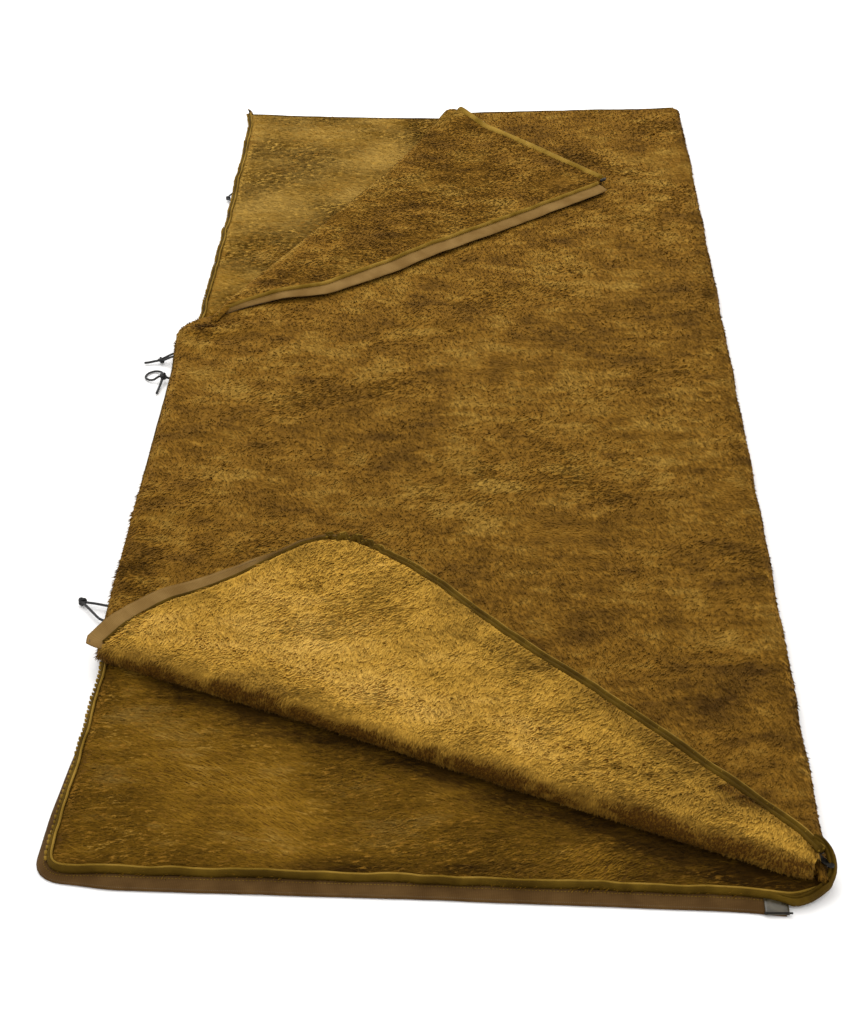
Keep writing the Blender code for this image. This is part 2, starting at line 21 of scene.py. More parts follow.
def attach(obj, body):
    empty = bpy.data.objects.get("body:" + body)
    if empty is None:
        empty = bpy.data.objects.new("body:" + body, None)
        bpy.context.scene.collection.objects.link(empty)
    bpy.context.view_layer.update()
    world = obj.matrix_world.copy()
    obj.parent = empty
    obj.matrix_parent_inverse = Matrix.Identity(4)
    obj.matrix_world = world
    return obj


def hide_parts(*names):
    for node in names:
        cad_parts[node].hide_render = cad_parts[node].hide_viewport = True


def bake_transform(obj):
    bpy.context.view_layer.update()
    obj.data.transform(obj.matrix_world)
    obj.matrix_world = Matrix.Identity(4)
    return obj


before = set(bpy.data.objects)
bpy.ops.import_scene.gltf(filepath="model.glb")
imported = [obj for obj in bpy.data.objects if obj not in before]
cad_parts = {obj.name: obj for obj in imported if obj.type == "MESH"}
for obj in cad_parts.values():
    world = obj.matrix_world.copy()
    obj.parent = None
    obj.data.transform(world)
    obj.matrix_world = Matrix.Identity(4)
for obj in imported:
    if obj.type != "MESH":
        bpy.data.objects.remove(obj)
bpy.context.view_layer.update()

log = logging.getLogger("camp_blanket")

MM = 0.001
# Heights of the middles of the cloths above the ground, and half a cloth's thickness.
LOWER_MID = 4.6 * MM
UPPER_MID = 17.6 * MM
FLAP_MID = 30.6 * MM
HALF_CLOTH = 3.8 * MM
LOWER_FLOOR = 0.5 * MM
# The "tip" value of bare cloth between tufts: 0 is a tuft's root and 1 its tip.
GROUND = 0.60
# The lower layer stays under the first of these heights and the upper layer over the second.
BEND_START = 9.3 * MM
BEND_END = 10.5 * MM

Colour = tuple[float, float, float]
Points = np.ndarray


class Layer(Enum):
    """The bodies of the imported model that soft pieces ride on."""

    LOWER = "lower_layer"
    UPPER = "upper_layer"
    HEAD = "head_corner"
    FOOT = "foot_corner"
    SLIDER = "zip_slider"
    PULL = "zip_pull"


class Slot(Enum):
    """The material slots that the pieces are listed with."""

    OUTER = "plush_outer"
    INNER = "plush_inner"
    BINDING = "binding"
    TAPE = "zip_tape"
    COIL = "zip_coil"
    FILM = "end_film"
    METAL = "zip_metal"
    ELASTIC = "elastic"


# ---------------------------------------------------------------- small maths


def ease(value: Points | float, low: float = 0.0, high: float = 1.0) -> Points | float:
    """Step smoothly from 0 at low to 1 at high.

    Args:
        value: where to read the step, a number or an array.
        low: where the step starts.
        high: where it ends.

    Returns:
        The step's height there, from 0 to 1.
    """
    share = np.clip((value - low) / (high - low), 0.0, 1.0)
    return share * share * (3.0 - 2.0 * share)


def cloud(points: Points, size: float, seed: float, octaves: int = 3) -> Points:
    """Read smooth noise of about -1 to 1 at each point.

    Args:
        points: positions in metres, shape (..., 3) or (..., 2).
        size: the size of the noise's lumps, in metres.
        seed: moves the noise, so that two readings differ.
        octaves: how many finer layers of noise are added.

    Returns:
        One number for each point.
    """
    flat = np.asarray(points, float).reshape(-1, points.shape[-1])
    if flat.shape[1] == 2:
        flat = np.column_stack([flat, np.zeros(len(flat))])
    shift = Vector((seed * 1.7, seed * 3.1, seed * 0.9))
    read = [noise.fractal(Vector(p) / size + shift, 0.9, 2.0, octaves) for p in flat]
    return np.array(read).reshape(points.shape[:-1])


def unit(vectors: Points) -> Points:
    """Scale vectors to length 1."""
    length = np.linalg.norm(vectors, axis=-1, keepdims=True)
    return vectors / np.maximum(length, 1e-9)


def resampled(points: Points, step: float) -> Points:
    """Points a step apart along a polyline, both ends kept.

    Args:
        points: the polyline's corners, shape (n, k).
        step: the wanted distance, in metres.

    Returns:
        The new points.
    """
    points = np.asarray(points, float)
    along = np.concatenate([[0.0], np.cumsum(np.linalg.norm(np.diff(points, axis=0), axis=1))])
    wanted = np.linspace(0.0, along[-1], max(2, int(round(along[-1] / step)) + 1))
    return np.column_stack([np.interp(wanted, along, points[:, k]) for k in range(points.shape[1])])


def smooth_route(points: Points, step: float) -> Points:
    """Points about a step apart on a smooth (Catmull-Rom) curve through the given points.

    Args:
        points: what the curve goes through, shape (n, 3).
        step: the wanted distance, in metres.

    Returns:
        The curve's points.
    """
    knots = np.asarray(points, float)
    knots = np.vstack([2 * knots[0] - knots[1], knots, 2 * knots[-1] - knots[-2]])
    route = [knots[1]]
    for before, start, end, after in zip(knots, knots[1:], knots[2:], knots[3:]):
        pieces = max(1, round(float(np.linalg.norm(end - start)) / step))
        for t in np.arange(1, pieces + 1) / pieces:
            route.append(0.5 * (2 * start + (end - before) * t
                                + (2 * before - 5 * start + 4 * end - after) * t ** 2
                                + (3 * start - before - 3 * end + after) * t ** 3))
    return np.array(route)


# ---------------------------------------------------------------- finishes


class Graph:
    """One material's node tree, with short ways to add what the finishes need."""

    def __init__(self, name: str) -> None:
        """Start an empty node material called name."""
        self.material = bpy.data.materials.new(name)
        self.material.use_nodes = True
        self.tree = self.material.node_tree
        self.shader = self.tree.nodes["Principled BSDF"]
        self.place = self.add("ShaderNodeTexCoord").outputs["Object"]

    def add(self, kind: str, values: dict | None = None, **settings: object) -> bpy.types.Node:
        """Add a node.

        Args:
            kind: the node's type name.
            values: its inputs, by name or number: a socket to link, or a value.
            settings: its properties.

        Returns:
            The node.
        """
        node = self.tree.nodes.new(kind)
        for key, value in settings.items():
            setattr(node, key, value)
        for key, value in (values or {}).items():
            if isinstance(value, bpy.types.NodeSocket):
                self.tree.links.new(value, node.inputs[key])
            else:
                node.inputs[key].default_value = value
        return node

    def maths(self, operation: str, first: object, second: object = 0.0) -> bpy.types.NodeSocket:
        """Combine two numbers or sockets by a Math operation."""
        return self.add("ShaderNodeMath", {0: first, 1: second}, operation=operation).outputs[0]

    def ranged(self, value: object, low: float, high: float, start: float,
               end: float) -> bpy.types.NodeSocket:
        """Map value from low..high to start..end, held at both ends."""
        return self.add("ShaderNodeMapRange", {0: value, 1: low, 2: high, 3: start, 4: end}).outputs[0]

    def mix(self, share: object, first: object, second: object,
            blend: str = "MIX") -> bpy.types.NodeSocket:
        """Mix two colours.

        Args:
            share: how much of the second, a number or a socket.
            first: a colour or a socket.
            second: a colour or a socket.
            blend: the way they mix.

        Returns:
            The mixed colour's socket.
        """
        values = {0: share}
        for number, colour in ((6, first), (7, second)):
            values[number] = (*colour, 1.0) if isinstance(colour, tuple) else colour
        return self.add("ShaderNodeMix", values, data_type="RGBA", blend_type=blend).outputs[2]

    def attribute(self, name: str) -> bpy.types.NodeSocket:
        """Read a number that the mesh carries."""
        return self.add("ShaderNodeAttribute", attribute_name=name).outputs["Fac"]

    def speckle(self, scale: float, detail: float = 2.0, stretch: Colour = (1.0, 1.0, 1.0),
                twist: float = 0.0, coordinates: object = None) -> bpy.types.NodeSocket:
        """Read noise in the piece's own space.

        Args:
            scale: lumps per metre.
            detail: finer layers of noise.
            stretch: scale of the coordinates along each axis.
            twist: how much the noise is bent.
            coordinates: other coordinates than the object's.

        Returns:
            The noise's socket, 0 to 1.
        """
        moved = self.add("ShaderNodeMapping", {"Vector": coordinates or self.place, "Scale": stretch})
        read = self.add("ShaderNodeTexNoise", {"Vector": moved.outputs[0], "Scale": scale,
                                               "Detail": detail, "Distortion": twist})
        return read.outputs[0]

    def colour(self, source: object) -> None:
        """Give the shader its colour."""
        self.tree.links.new(source, self.shader.inputs["Base Color"])

    def bump(self, height: object, depth: float, strength: float = 0.6, facing: object = None) -> None:
        """Give the shader a bump of that depth in metres, over another shading direction if given."""
        made = self.add("ShaderNodeBump", {"Height": height, "Distance": depth, "Strength": strength})
        if facing is not None:
            self.tree.links.new(facing, made.inputs["Normal"])
        self.tree.links.new(made.outputs[0], self.shader.inputs["Normal"])

    def soften(self, share: float) -> bpy.types.NodeSocket:
        """The shading direction of a tuft, turned towards that of the cloth it grows on.

        Args:
            share: how far it is turned.

        Returns:
            The direction; the true one where a mesh stores no cloth direction.
        """
        ground = self.add("ShaderNodeAttribute", attribute_name="soft").outputs["Vector"]
        turned = self.add("ShaderNodeVectorTransform", {"Vector": ground}, vector_type="VECTOR",
                          convert_from="OBJECT", convert_to="WORLD").outputs[0]
        facing = self.add("ShaderNodeNewGeometry").outputs["Normal"]
        agree = self.add("ShaderNodeVectorMath", {0: turned, 1: facing},
                         operation="DOT_PRODUCT").outputs["Value"]
        same = self.maths("GREATER_THAN", agree, -0.3)
        signed = self.maths("MULTIPLY", self.maths("SUBTRACT", same, 0.5), 2.0 * share)
        part = self.add("ShaderNodeVectorMath", {0: turned, "Scale": signed}, operation="SCALE").outputs[0]
        rest = self.add("ShaderNodeVectorMath", {0: facing, "Scale": 1.0 - share},
                        operation="SCALE").outputs[0]
        both = self.add("ShaderNodeVectorMath", {0: part, 1: rest}, operation="ADD").outputs[0]
        return self.add("ShaderNodeVectorMath", {0: both}, operation="NORMALIZE").outputs[0]

    def constants(self, **values: object) -> None:
        """Set the shader's own inputs, underscores standing for spaces."""
        for key, value in values.items():
            self.shader.inputs[key.replace("_", " ")].default_value = value


@dataclass(frozen=True)
class PileFinish:
    """Plush pile: darker at the roots as painted shade, lighter at the tips, in patches of random tone mixed
    with painted light and shade of the nap.
    """

    name: str
    # The root colour is painted shade at the base of each tuft; depth is how much of the tip colour the roots
    # keep.
    root: Colour
    shade: Colour
    middle: Colour
    light: Colour
    patch: float = 11.0
    grain: Colour = (0.45, 1.0, 1.0)
    contrast: float = 1.0
    depth: float = 0.6
    broad: float = 0.0

    def material(self) -> bpy.types.Material:
        """Build the finish."""
        g = Graph(self.name)
        # The patches mix random tone with painted light and shade, standing for how the nap's lean catches
        # the light.
        patch = g.speckle(self.patch, 4.0, (0.8, 1.0, 1.0), 0.5)
        small = g.speckle(self.patch * 4.5, 3.0, self.grain, 0.3)
        fleck = g.speckle(self.patch * 16.0, 2.0, self.grain)
        blend = g.maths("MULTIPLY", patch, 0.42)
        blend = g.maths("ADD", blend, g.maths("MULTIPLY", small, 0.40))
        blend = g.maths("ADD", blend, g.maths("MULTIPLY", fleck, 0.18))
        spread = 0.105 / self.contrast
        level = g.ranged(blend, 0.5 - spread, 0.5 + spread, 0.0, 1.0)
        # Broad patches of painted light and shade, as strong as broad.
        painted_shading = g.speckle(self.patch * 1.9, 3.0, (1.0, 1.0, 1.0), 0.4)
        level = g.maths("ADD", level, g.ranged(painted_shading, 0.36, 0.64, -self.broad, self.broad))
        level = g.maths("ADD", level, g.ranged(g.attribute("tone"), 0.0, 1.0, -0.08, 0.08))
        # zone brings the cloth's regional tone, together with the painted shade and highlight that the sheets
        # lay in it.
        level = g.maths("ADD", level, g.ranged(g.attribute("zone"), 0.0, 1.0, -0.9, 0.9))
        dark = g.mix(g.ranged(level, -0.42, 0.5, 0.0, 1.0), self.shade, self.middle)
        tip = g.mix(g.ranged(level, 0.5, 1.3, 0.0, 1.0), dark, self.light)
        # Painted shade: each tuft darkens from its tip to its root, where the pile shades itself.
        share = g.ranged(g.attribute("tip"), 0.0, 0.6, self.depth, 1.0)
        g.colour(g.mix(share, self.root, tip))
        g.bump(g.speckle(420.0, 3.0, self.grain), 1.2 * MM, 0.5, g.soften(0.85))
        g.constants(Roughness=0.92, Sheen_Weight=0.12, Sheen_Roughness=0.45,
                    Specular_IOR_Level=0.12, Sheen_Tint=(*self.light, 1.0))
        return g.material


@dataclass(frozen=True)
class WovenFinish:
    """Woven tape or binding: crossing threads, uneven dye, wear along its length."""

    name: str
    dark: Colour
    light: Colour
    threads: float = 900.0
    roughness: float = 0.85

    def material(self) -> bpy.types.Material:
        """Build the finish."""
        g = Graph(self.name)
        along = g.add("ShaderNodeUVMap", uv_map="UVMap").outputs[0]
        warp = g.add("ShaderNodeTexWave", {"Vector": along, "Scale": self.threads / 6.0,
                                           "Distortion": 0.6, "Detail": 1.0}, bands_direction="X")
        weft = g.add("ShaderNodeTexWave", {"Vector": along, "Scale": self.threads / 6.0,
                                           "Distortion": 0.6, "Detail": 1.0}, bands_direction="Y")
        weave = g.maths("MULTIPLY", warp.outputs["Fac"], weft.outputs["Fac"])
        dye = g.speckle(30.0, 4.0, (1.0, 1.0, 1.0), 0.4)
        level = g.maths("ADD", g.maths("MULTIPLY", dye, 0.75), g.maths("MULTIPLY", weave, 0.22))
        g.colour(g.mix(g.ranged(level, 0.30, 0.80, 0.0, 1.0), self.dark, self.light))
        g.bump(g.maths("ADD", weave, g.maths("MULTIPLY", g.speckle(900.0), 0.5)), 0.3 * MM)
        g.constants(Roughness=self.roughness, Specular_IOR_Level=0.06)
        return g.material


@dataclass(frozen=True)
class SolidFinish:
    """Moulded, cast or drawn stuff: coil, film, metal or elastic, with a fine grain."""

    name: str
    dark: Colour
    light: Colour
    grain: float = 300.0
    roughness: float = 0.45
    metallic: float = 0.0
    clear: float = 0.0
    stretch: Colour = (1.0, 1.0, 1.0)

    def material(self) -> bpy.types.Material:
        """Build the finish."""
        g = Graph(self.name)
        wear = g.speckle(self.grain, 3.0, self.stretch, 0.3)
        g.colour(g.mix(g.ranged(wear, 0.35, 0.68, 0.0, 1.0), self.dark, self.light))
        rough = g.ranged(wear, 0.3, 0.7, self.roughness * 0.8, min(1.0, self.roughness * 1.25))
        g.tree.links.new(rough, g.shader.inputs["Roughness"])
        g.bump(g.speckle(self.grain * 4.0, 2.0, self.stretch), 0.12 * MM)
        g.constants(Metallic=self.metallic, Transmission_Weight=self.clear)
        return g.material


class Wardrobe:
    """Every finish on the blanket, each built once."""

    def __init__(self) -> None:
        """Build all the finishes."""
        self.outer = PileFinish("plush_outer", (0.105, 0.046, 0.003), (0.062, 0.027, 0.001),
                                (0.222, 0.106, 0.0085), (0.370, 0.215, 0.034), broad=0.20).material()
        self.inner = PileFinish("plush_inner", (0.118, 0.052, 0.002), (0.052, 0.023, 0.0005),
                                (0.278, 0.140, 0.0085), (0.450, 0.272, 0.056), patch=13.0,
                                grain=(0.30, 1.0, 1.0), contrast=0.72, depth=0.82).material()
        self.gold = PileFinish("plush_gold", (0.230, 0.105, 0.006), (0.060, 0.024, 0.001),
                               (0.560, 0.315, 0.042), (0.76, 0.47, 0.10), patch=9.0,
                               contrast=0.6).material()
        self.binding = WovenFinish("edge_binding", (0.042, 0.022, 0.0012), (0.165, 0.096, 0.0085),
                                   2600.0).material()
        self.thread = WovenFinish("edge_thread", (0.150, 0.086, 0.0075), (0.430, 0.262, 0.048),
                                  2600.0).material()
        self.tape = WovenFinish("tape_weave", (0.155, 0.085, 0.022), (0.285, 0.175, 0.058), 1100.0).material()
        # A darker copy of the tape: painted shade for the lower tape, which lies in the pile's shade.
        self.painted_shading = WovenFinish("tape_shaded", (0.060, 0.030, 0.0082), (0.128, 0.070, 0.022),
                                1100.0).material()
        self.coil = SolidFinish("coil_nylon", (0.055, 0.034, 0.012), (0.14, 0.09, 0.04),
                                220.0, 0.4).material()
        self.film = SolidFinish("end_film", (0.030, 0.024, 0.012), (0.085, 0.070, 0.040), 90.0, 0.30,
                                clear=0.15).material()
        self.metal = SolidFinish("dark_metal", (0.008, 0.007, 0.006), (0.034, 0.030, 0.023), 260.0, 0.46,
                                 0.85).material()
        self.elastic = SolidFinish("elastic_cord", (0.004, 0.004, 0.004), (0.028, 0.027, 0.026), 1100.0,
                                   0.7, stretch=(1.0, 1.0, 0.3)).material()


# ---------------------------------------------------------------- mesh makers


def linked(name: str, mesh: bpy.types.Mesh, finish: bpy.types.Material,
           smooth: bool = True) -> bpy.types.Object:
    """Link a mesh as a piece with its finish.

    Args:
        name: the piece's name.
        mesh: its mesh, in place.
        finish: its material.
        smooth: whether its faces shade smoothly.

    Returns:
        The piece.
    """
    mesh.materials.clear()
    mesh.materials.append(finish)
    piece = bpy.data.objects.new(name, mesh)
    bpy.context.scene.collection.objects.link(piece)
    mesh.polygons.foreach_set("use_smooth", [smooth] * len(mesh.polygons))
    log.info("%s: %d faces", name, len(mesh.polygons))
    return piece


def point_values(mesh: bpy.types.Mesh, name: str, values: Points) -> None:
    """Store one number or one vector for each point of a mesh."""
    values = np.asarray(values, np.float32)
    kind = "FLOAT_VECTOR" if values.ndim == 2 else "FLOAT"
    stored = mesh.attributes.get(name) or mesh.attributes.new(name, kind, "POINT")
    stored.data.foreach_set("vector" if values.ndim == 2 else "value", values.ravel())


@dataclass
class Shell:
    """A closed cloth shell over a grid of points: rows by columns, with a half thickness."""

    middle: Points
    half: Points
    out: Points = field(init=False)

    def __post_init__(self) -> None:
        """Work out which way the cloth faces."""
        self.out = unit(np.cross(np.gradient(self.middle, axis=0), np.gradient(self.middle, axis=1)))

    @property
    def outer(self) -> Points:
        """The face that out points to."""
        return self.middle + self.out * self.half[..., None]

    @property
    def inner(self) -> Points:
        """The other face."""
        return self.middle - self.out * self.half[..., None]

    def mesh(self, name: str) -> bpy.types.Mesh:
        """Close the shell: both faces and the rim.

        Args:
            name: the mesh's name.

        Returns:
            The mesh, the outer face's points first.
        """
        rows, columns = self.half.shape
        index = np.arange(rows * columns).reshape(rows, columns)
        quads = np.stack([index[:-1, :-1], index[1:, :-1], index[1:, 1:], index[:-1, 1:]], -1).reshape(-1, 4)
        under = quads[:, ::-1] + rows * columns
        ring = np.concatenate([index[:, 0], index[-1, 1:], index[-2::-1, -1], index[0, -2:0:-1]])
        after = np.roll(ring, -1)
        rim = np.stack([after, ring, ring + rows * columns, after + rows * columns], -1)
        faces = np.concatenate([quads, under, rim])
        mesh = bpy.data.meshes.new(name)
        points = np.concatenate([self.outer.reshape(-1, 3), self.inner.reshape(-1, 3)])
        mesh.from_pydata(points.tolist(), [], faces.tolist())
        mesh.update()
        return mesh


def sweep(name: str, path: Points, out: Points, profile: Points, finish: bpy.types.Material,
          width: Points | float = 1.0, tilt: Points | float = 0.0) -> bpy.types.Object:
    """Carry a closed cross-section along a path, with round-filled ends.

    Args:
        name: the piece's name.
        path: the points to follow, shape (n, 3).
        out: at each point, the direction of the cross-section's first axis.
        profile: the cross-section's corners, shape (m, 2): outwards, upwards.
        finish: the piece's material.
        width: scales the cross-section's first axis, one number or one a point.
        tilt: turns the cross-section about the path, in radians.

    Returns:
        The piece.
    """
    count, corners = len(path), len(profile)
    tangent = unit(np.gradient(path, axis=0))
    out = unit(out - (out * tangent).sum(1, keepdims=True) * tangent)
    rise = np.cross(tangent, out)
    rise *= np.sign(rise[:, 2:3] + 1e-9)
    tilt = np.broadcast_to(tilt, count)[:, None]
    across = out * np.cos(tilt) + rise * np.sin(tilt)
    above = rise * np.cos(tilt) - out * np.sin(tilt)
    reach = profile[None, :, 0] * np.broadcast_to(width, count)[:, None]
    points = path[:, None] + across[:, None] * reach[..., None] + above[:, None] * profile[None, :, 1:2]
    index = np.arange(count * corners).reshape(count, corners)
    turned = np.roll(index, -1, axis=1)
    sides = np.stack([index[:-1], index[1:], turned[1:], turned[:-1]], -1).reshape(-1, 4).tolist()
    mesh = bpy.data.meshes.new(name)
    mesh.from_pydata(points.reshape(-1, 3).tolist(), [], sides + [index[0].tolist(), index[-1].tolist()])
    along = np.concatenate([[0.0], np.cumsum(np.linalg.norm(np.diff(path, axis=0), axis=1))])
    around = np.concatenate([[0.0], np.cumsum(np.linalg.norm(np.diff(profile, axis=0), axis=1))])
    layer = mesh.uv_layers.new(name="UVMap")
    loops = np.zeros(len(mesh.loops), np.int32)
    mesh.loops.foreach_get("vertex_index", loops)
    places = np.column_stack([along[loops // corners], around[loops % corners]])
    layer.data.foreach_set("uv", places.astype(np.float32).ravel())
    bm = bmesh.new()
    bm.from_mesh(mesh)
    bmesh.ops.recalc_face_normals(bm, faces=bm.faces)
    bm.to_mesh(mesh)
    bm.free()
    return linked(name, mesh, finish)


def ridge_profile(width: float, height: float, ridges: int, steps: int = 7) -> Points:
    """The cross-section of a sewn edge: rounded ridges side by side on a flat base.

    Args:
        width: across all the ridges.
        height: from base to crest.
        ridges: how many.
        steps: corners on each ridge.

    Returns:
        The corners, centred on the width.
    """
    across = np.linspace(0.0, 1.0, steps * ridges)
    crest = np.sqrt(np.abs(np.sin(np.pi * ridges * np.clip(across, 0.02, 0.98))))
    top = np.column_stack([(across - 0.5) * width, height * (0.62 * crest - 0.12)])
    base = np.column_stack([(across[::-2] - 0.5) * width * 0.86, np.full(len(across[::-2]), -height * 0.5)])
    return np.concatenate([top, base])


def band_profile(width: float, thick: float, droop: float, steps: int = 7) -> Points:
    """The cross-section of a tape, from its sewn edge at 0 out to its free edge.

    Args:
        width: of the tape.
        thick: its thickness.
        droop: how far the free edge hangs.
        steps: corners on each face.

    Returns:
        The corners.
    """
    across = np.linspace(0.0, 1.0, steps)
    sag = -droop * across ** 2
    top = np.column_stack([across * width, sag + thick / 2])
    return np.concatenate([top, (top - [0.0, thick])[::-1]])


# ---------------------------------------------------------------- geometry node trees


class Tree:
    """A Geometry Nodes tree with named inputs that ends in Realize Instances and Set Material."""

    def __init__(self, name: str, numbers: dict[str, float]) -> None:
        """Start the tree.

        Args:
            name: the tree's name.
            numbers: its number inputs and their usual values.
        """
        self.group = bpy.data.node_groups.new(name, "GeometryNodeTree")
        face = self.group.interface
        face.new_socket("Geometry", in_out="INPUT", socket_type="NodeSocketGeometry")
        for label, value in numbers.items():
            made = face.new_socket(label, in_out="INPUT", socket_type="NodeSocketFloat")
            made.default_value = value
        face.new_socket("Seed", in_out="INPUT", socket_type="NodeSocketInt")
        face.new_socket("Finish", in_out="INPUT", socket_type="NodeSocketMaterial")
        face.new_socket("Geometry", in_out="OUTPUT", socket_type="NodeSocketGeometry")
        self.given = self.add("NodeGroupInput").outputs

    def add(self, kind: str, values: dict | None = None, **settings: object) -> bpy.types.Node:
        """Add a node, as Graph.add does.

        Args:
            kind: the node's type name.
            values: its inputs, by name or number.
            settings: its properties.

        Returns:
            The node.
        """
        node = self.group.nodes.new(kind)
        for key, value in settings.items():
            setattr(node, key, value)
        for key, value in (values or {}).items():
            if isinstance(value, bpy.types.NodeSocket):
                self.group.links.new(value, node.inputs[key])
            else:
                node.inputs[key].default_value = value
        return node

    def named(self, name: str, kind: str = "FLOAT") -> bpy.types.NodeSocket:
        """Read what the mesh stores under a name."""
        return self.add("GeometryNodeInputNamedAttribute", {"Name": name}, data_type=kind).outputs[0]

    def scaled(self, vector: object, factor: object) -> bpy.types.NodeSocket:
        """Scale a vector."""
        return self.add("ShaderNodeVectorMath", {0: vector, "Scale": factor}, operation="SCALE").outputs[0]

    def vectors(self, operation: str, first: object, second: object) -> bpy.types.NodeSocket:
        """Combine two vectors."""
        return self.add("ShaderNodeVectorMath", {0: first, 1: second}, operation=operation).outputs[0]

    def times(self, first: object, second: object) -> bpy.types.NodeSocket:
        """Multiply two numbers."""
        return self.add("ShaderNodeMath", {0: first, 1: second}, operation="MULTIPLY").outputs[0]

    def chance(self, low: float, high: float, offset: int, kind: str = "FLOAT") -> bpy.types.NodeSocket:
        """A random number or vector for each point, from the tree's seed."""
        seed = self.add("ShaderNodeMath", {0: self.given["Seed"], 1: float(offset)},
                        operation="ADD").outputs[0]
        if kind == "FLOAT":
            return self.add("FunctionNodeRandomValue", {2: low, 3: high, 8: seed}, data_type=kind).outputs[1]
        return self.add("FunctionNodeRandomValue", {0: (low,) * 3, 1: (high,) * 3, 8: seed},
                        data_type=kind).outputs[0]

    def close(self, instances: bpy.types.NodeSocket) -> None:
        """End the tree in real meshes with their finish."""
        real = self.add("GeometryNodeRealizeInstances", {"Geometry": instances}).outputs[0]
        dressed = self.add("GeometryNodeSetMaterial", {"Geometry": real, "Material": self.given["Finish"]})
        self.add("NodeGroupOutput", {0: dressed.outputs[0]})

    def grown(self, name: str, source: bpy.types.ID, finish: bpy.types.Material, seed: int,
              **numbers: float) -> bpy.types.Mesh:
        """Run the tree on a mesh or a curve.

        Args:
            name: the new mesh's name.
            source: the mesh or curve to grow on.
            finish: the material of what grows.
            seed: fixes what is random.
            numbers: inputs that differ from their usual values, underscores standing for spaces.

        Returns:
            The plain mesh.
        """
        holder = bpy.data.objects.new(name + "_seed", source)
        bpy.context.scene.collection.objects.link(holder)
        modifier = holder.modifiers.new("grow", "NODES")
        modifier.node_group = self.group
        values = {key.replace("_", " "): value for key, value in numbers.items()}
        values.update({"Seed": seed, "Finish": finish})
        for item in self.group.interface.items_tree:
            if item.item_type == "SOCKET" and item.in_out == "INPUT" and item.name in values:
                modifier[item.identifier] = values[item.name]
        ready = holder.evaluated_get(bpy.context.evaluated_depsgraph_get())
        mesh = bpy.data.meshes.new_from_object(ready)
        mesh.name = name
        holder.modifiers.remove(modifier)
        bpy.data.objects.remove(holder)
        return mesh


def pile_tree() -> Tree:
    """Tufts of pile on a cloth: three-sided cones that lean the way the cloth is combed.

    The cloth carries cover (tufts per square metre), comb (the way they lean), pile (their
    relative length) and zone (their lightness).
    """
    tree = Tree("pile_of_tufts", {"Length": 8 * MM, "Width": 1.5 * MM, "Upright": 0.5, "Lean": 0.9,
                                  "Scatter": 0.35})
    spots = tree.add("GeometryNodeDistributePointsOnFaces",
                     {"Mesh": tree.given["Geometry"], "Density": tree.named("cover"),
                      "Seed": tree.given["Seed"]}, distribute_method="RANDOM")
    upright = tree.scaled(spots.outputs["Normal"], tree.given["Upright"])
    lean = tree.scaled(tree.named("comb", "FLOAT_VECTOR"), tree.given["Lean"])
    scatter = tree.scaled(tree.chance(-1.0, 1.0, 5, "FLOAT_VECTOR"), tree.given["Scatter"])
    way = tree.vectors("ADD", tree.vectors("ADD", upright, lean), scatter)
    turn = tree.add("FunctionNodeAlignRotationToVector", {"Vector": way}, axis="Z").outputs[0]
    toned = tree.add("GeometryNodeStoreNamedAttribute",
                     {"Geometry": spots.outputs["Points"], "Name": "tone", "Value": tree.chance(0.0, 1.0, 9)},
                     data_type="FLOAT", domain="POINT").outputs[0]
    toned = tree.add("GeometryNodeStoreNamedAttribute",
                     {"Geometry": toned, "Name": "soft", "Value": spots.outputs["Normal"]},
                     data_type="FLOAT_VECTOR", domain="POINT").outputs[0]
    cone = tree.add("GeometryNodeMeshCone", {"Vertices": 3, "Side Segments": 1, "Radius Top": 0.0,
                                             "Radius Bottom": 1.0, "Depth": 1.0}, fill_type="NGON")
    height = tree.add("ShaderNodeSeparateXYZ", {0: tree.add("GeometryNodeInputPosition").outputs[0]})
    tuft = tree.add("GeometryNodeStoreNamedAttribute",
                    {"Geometry": cone.outputs["Mesh"], "Name": "tip", "Value": height.outputs["Z"]},
                    data_type="FLOAT", domain="POINT").outputs[0]
    size = tree.chance(0.7, 1.3, 13)
    long = tree.times(tree.times(size, tree.named("pile")), tree.given["Length"])
    wide = tree.times(size, tree.given["Width"])
    scale = tree.add("ShaderNodeCombineXYZ", {"X": wide, "Y": wide, "Z": long}).outputs[0]
    placed = tree.add("GeometryNodeInstanceOnPoints", {"Points": toned, "Instance": tuft, "Rotation": turn,
                                                       "Scale": scale})
    tree.close(placed.outputs[0])
    return tree


def row_tree() -> Tree:
    """A row of small rounded pieces along a line: stitches, thread loops or zip teeth."""
    tree = Tree("row_of_beads", {"Pitch": 4 * MM, "Along": 1.3 * MM, "Across": 0.4 * MM, "Rise": 0.4 * MM,
                                 "Slant": 0.0, "Jitter": 0.1})
    spots = tree.add("GeometryNodeCurveToPoints", {"Curve": tree.given["Geometry"],
                                                   "Length": tree.given["Pitch"]}, mode="LENGTH")
    turn = tree.add("FunctionNodeAlignRotationToVector", {"Vector": spots.outputs["Tangent"]},
                    axis="X").outputs[0]
    slant = tree.add("ShaderNodeCombineXYZ", {"Z": tree.given["Slant"]}).outputs[0]
    turned = tree.add("FunctionNodeRotateRotation", {"Rotation": turn, "Rotate By": slant},
                      rotation_space="LOCAL").outputs[0]
    bead = tree.add("GeometryNodeMeshIcoSphere", {"Radius": 1.0, "Subdivisions": 1}).outputs["Mesh"]
    shaken = tree.times(tree.chance(-1.0, 1.0, 3), tree.given["Jitter"])
    jitter = tree.add("ShaderNodeMath", {0: shaken, 1: 1.0}, operation="ADD").outputs[0]
    shape = tree.add("ShaderNodeCombineXYZ", {"X": tree.given["Along"], "Y": tree.given["Across"],
                                              "Z": tree.given["Rise"]}).outputs[0]
    size = tree.scaled(shape, jitter)
    placed = tree.add("GeometryNodeInstanceOnPoints", {"Points": spots.outputs["Points"], "Instance": bead,
                                                       "Rotation": turned, "Scale": size})
    tree.close(placed.outputs[0])
    return tree


PILE = pile_tree()
ROW = row_tree()


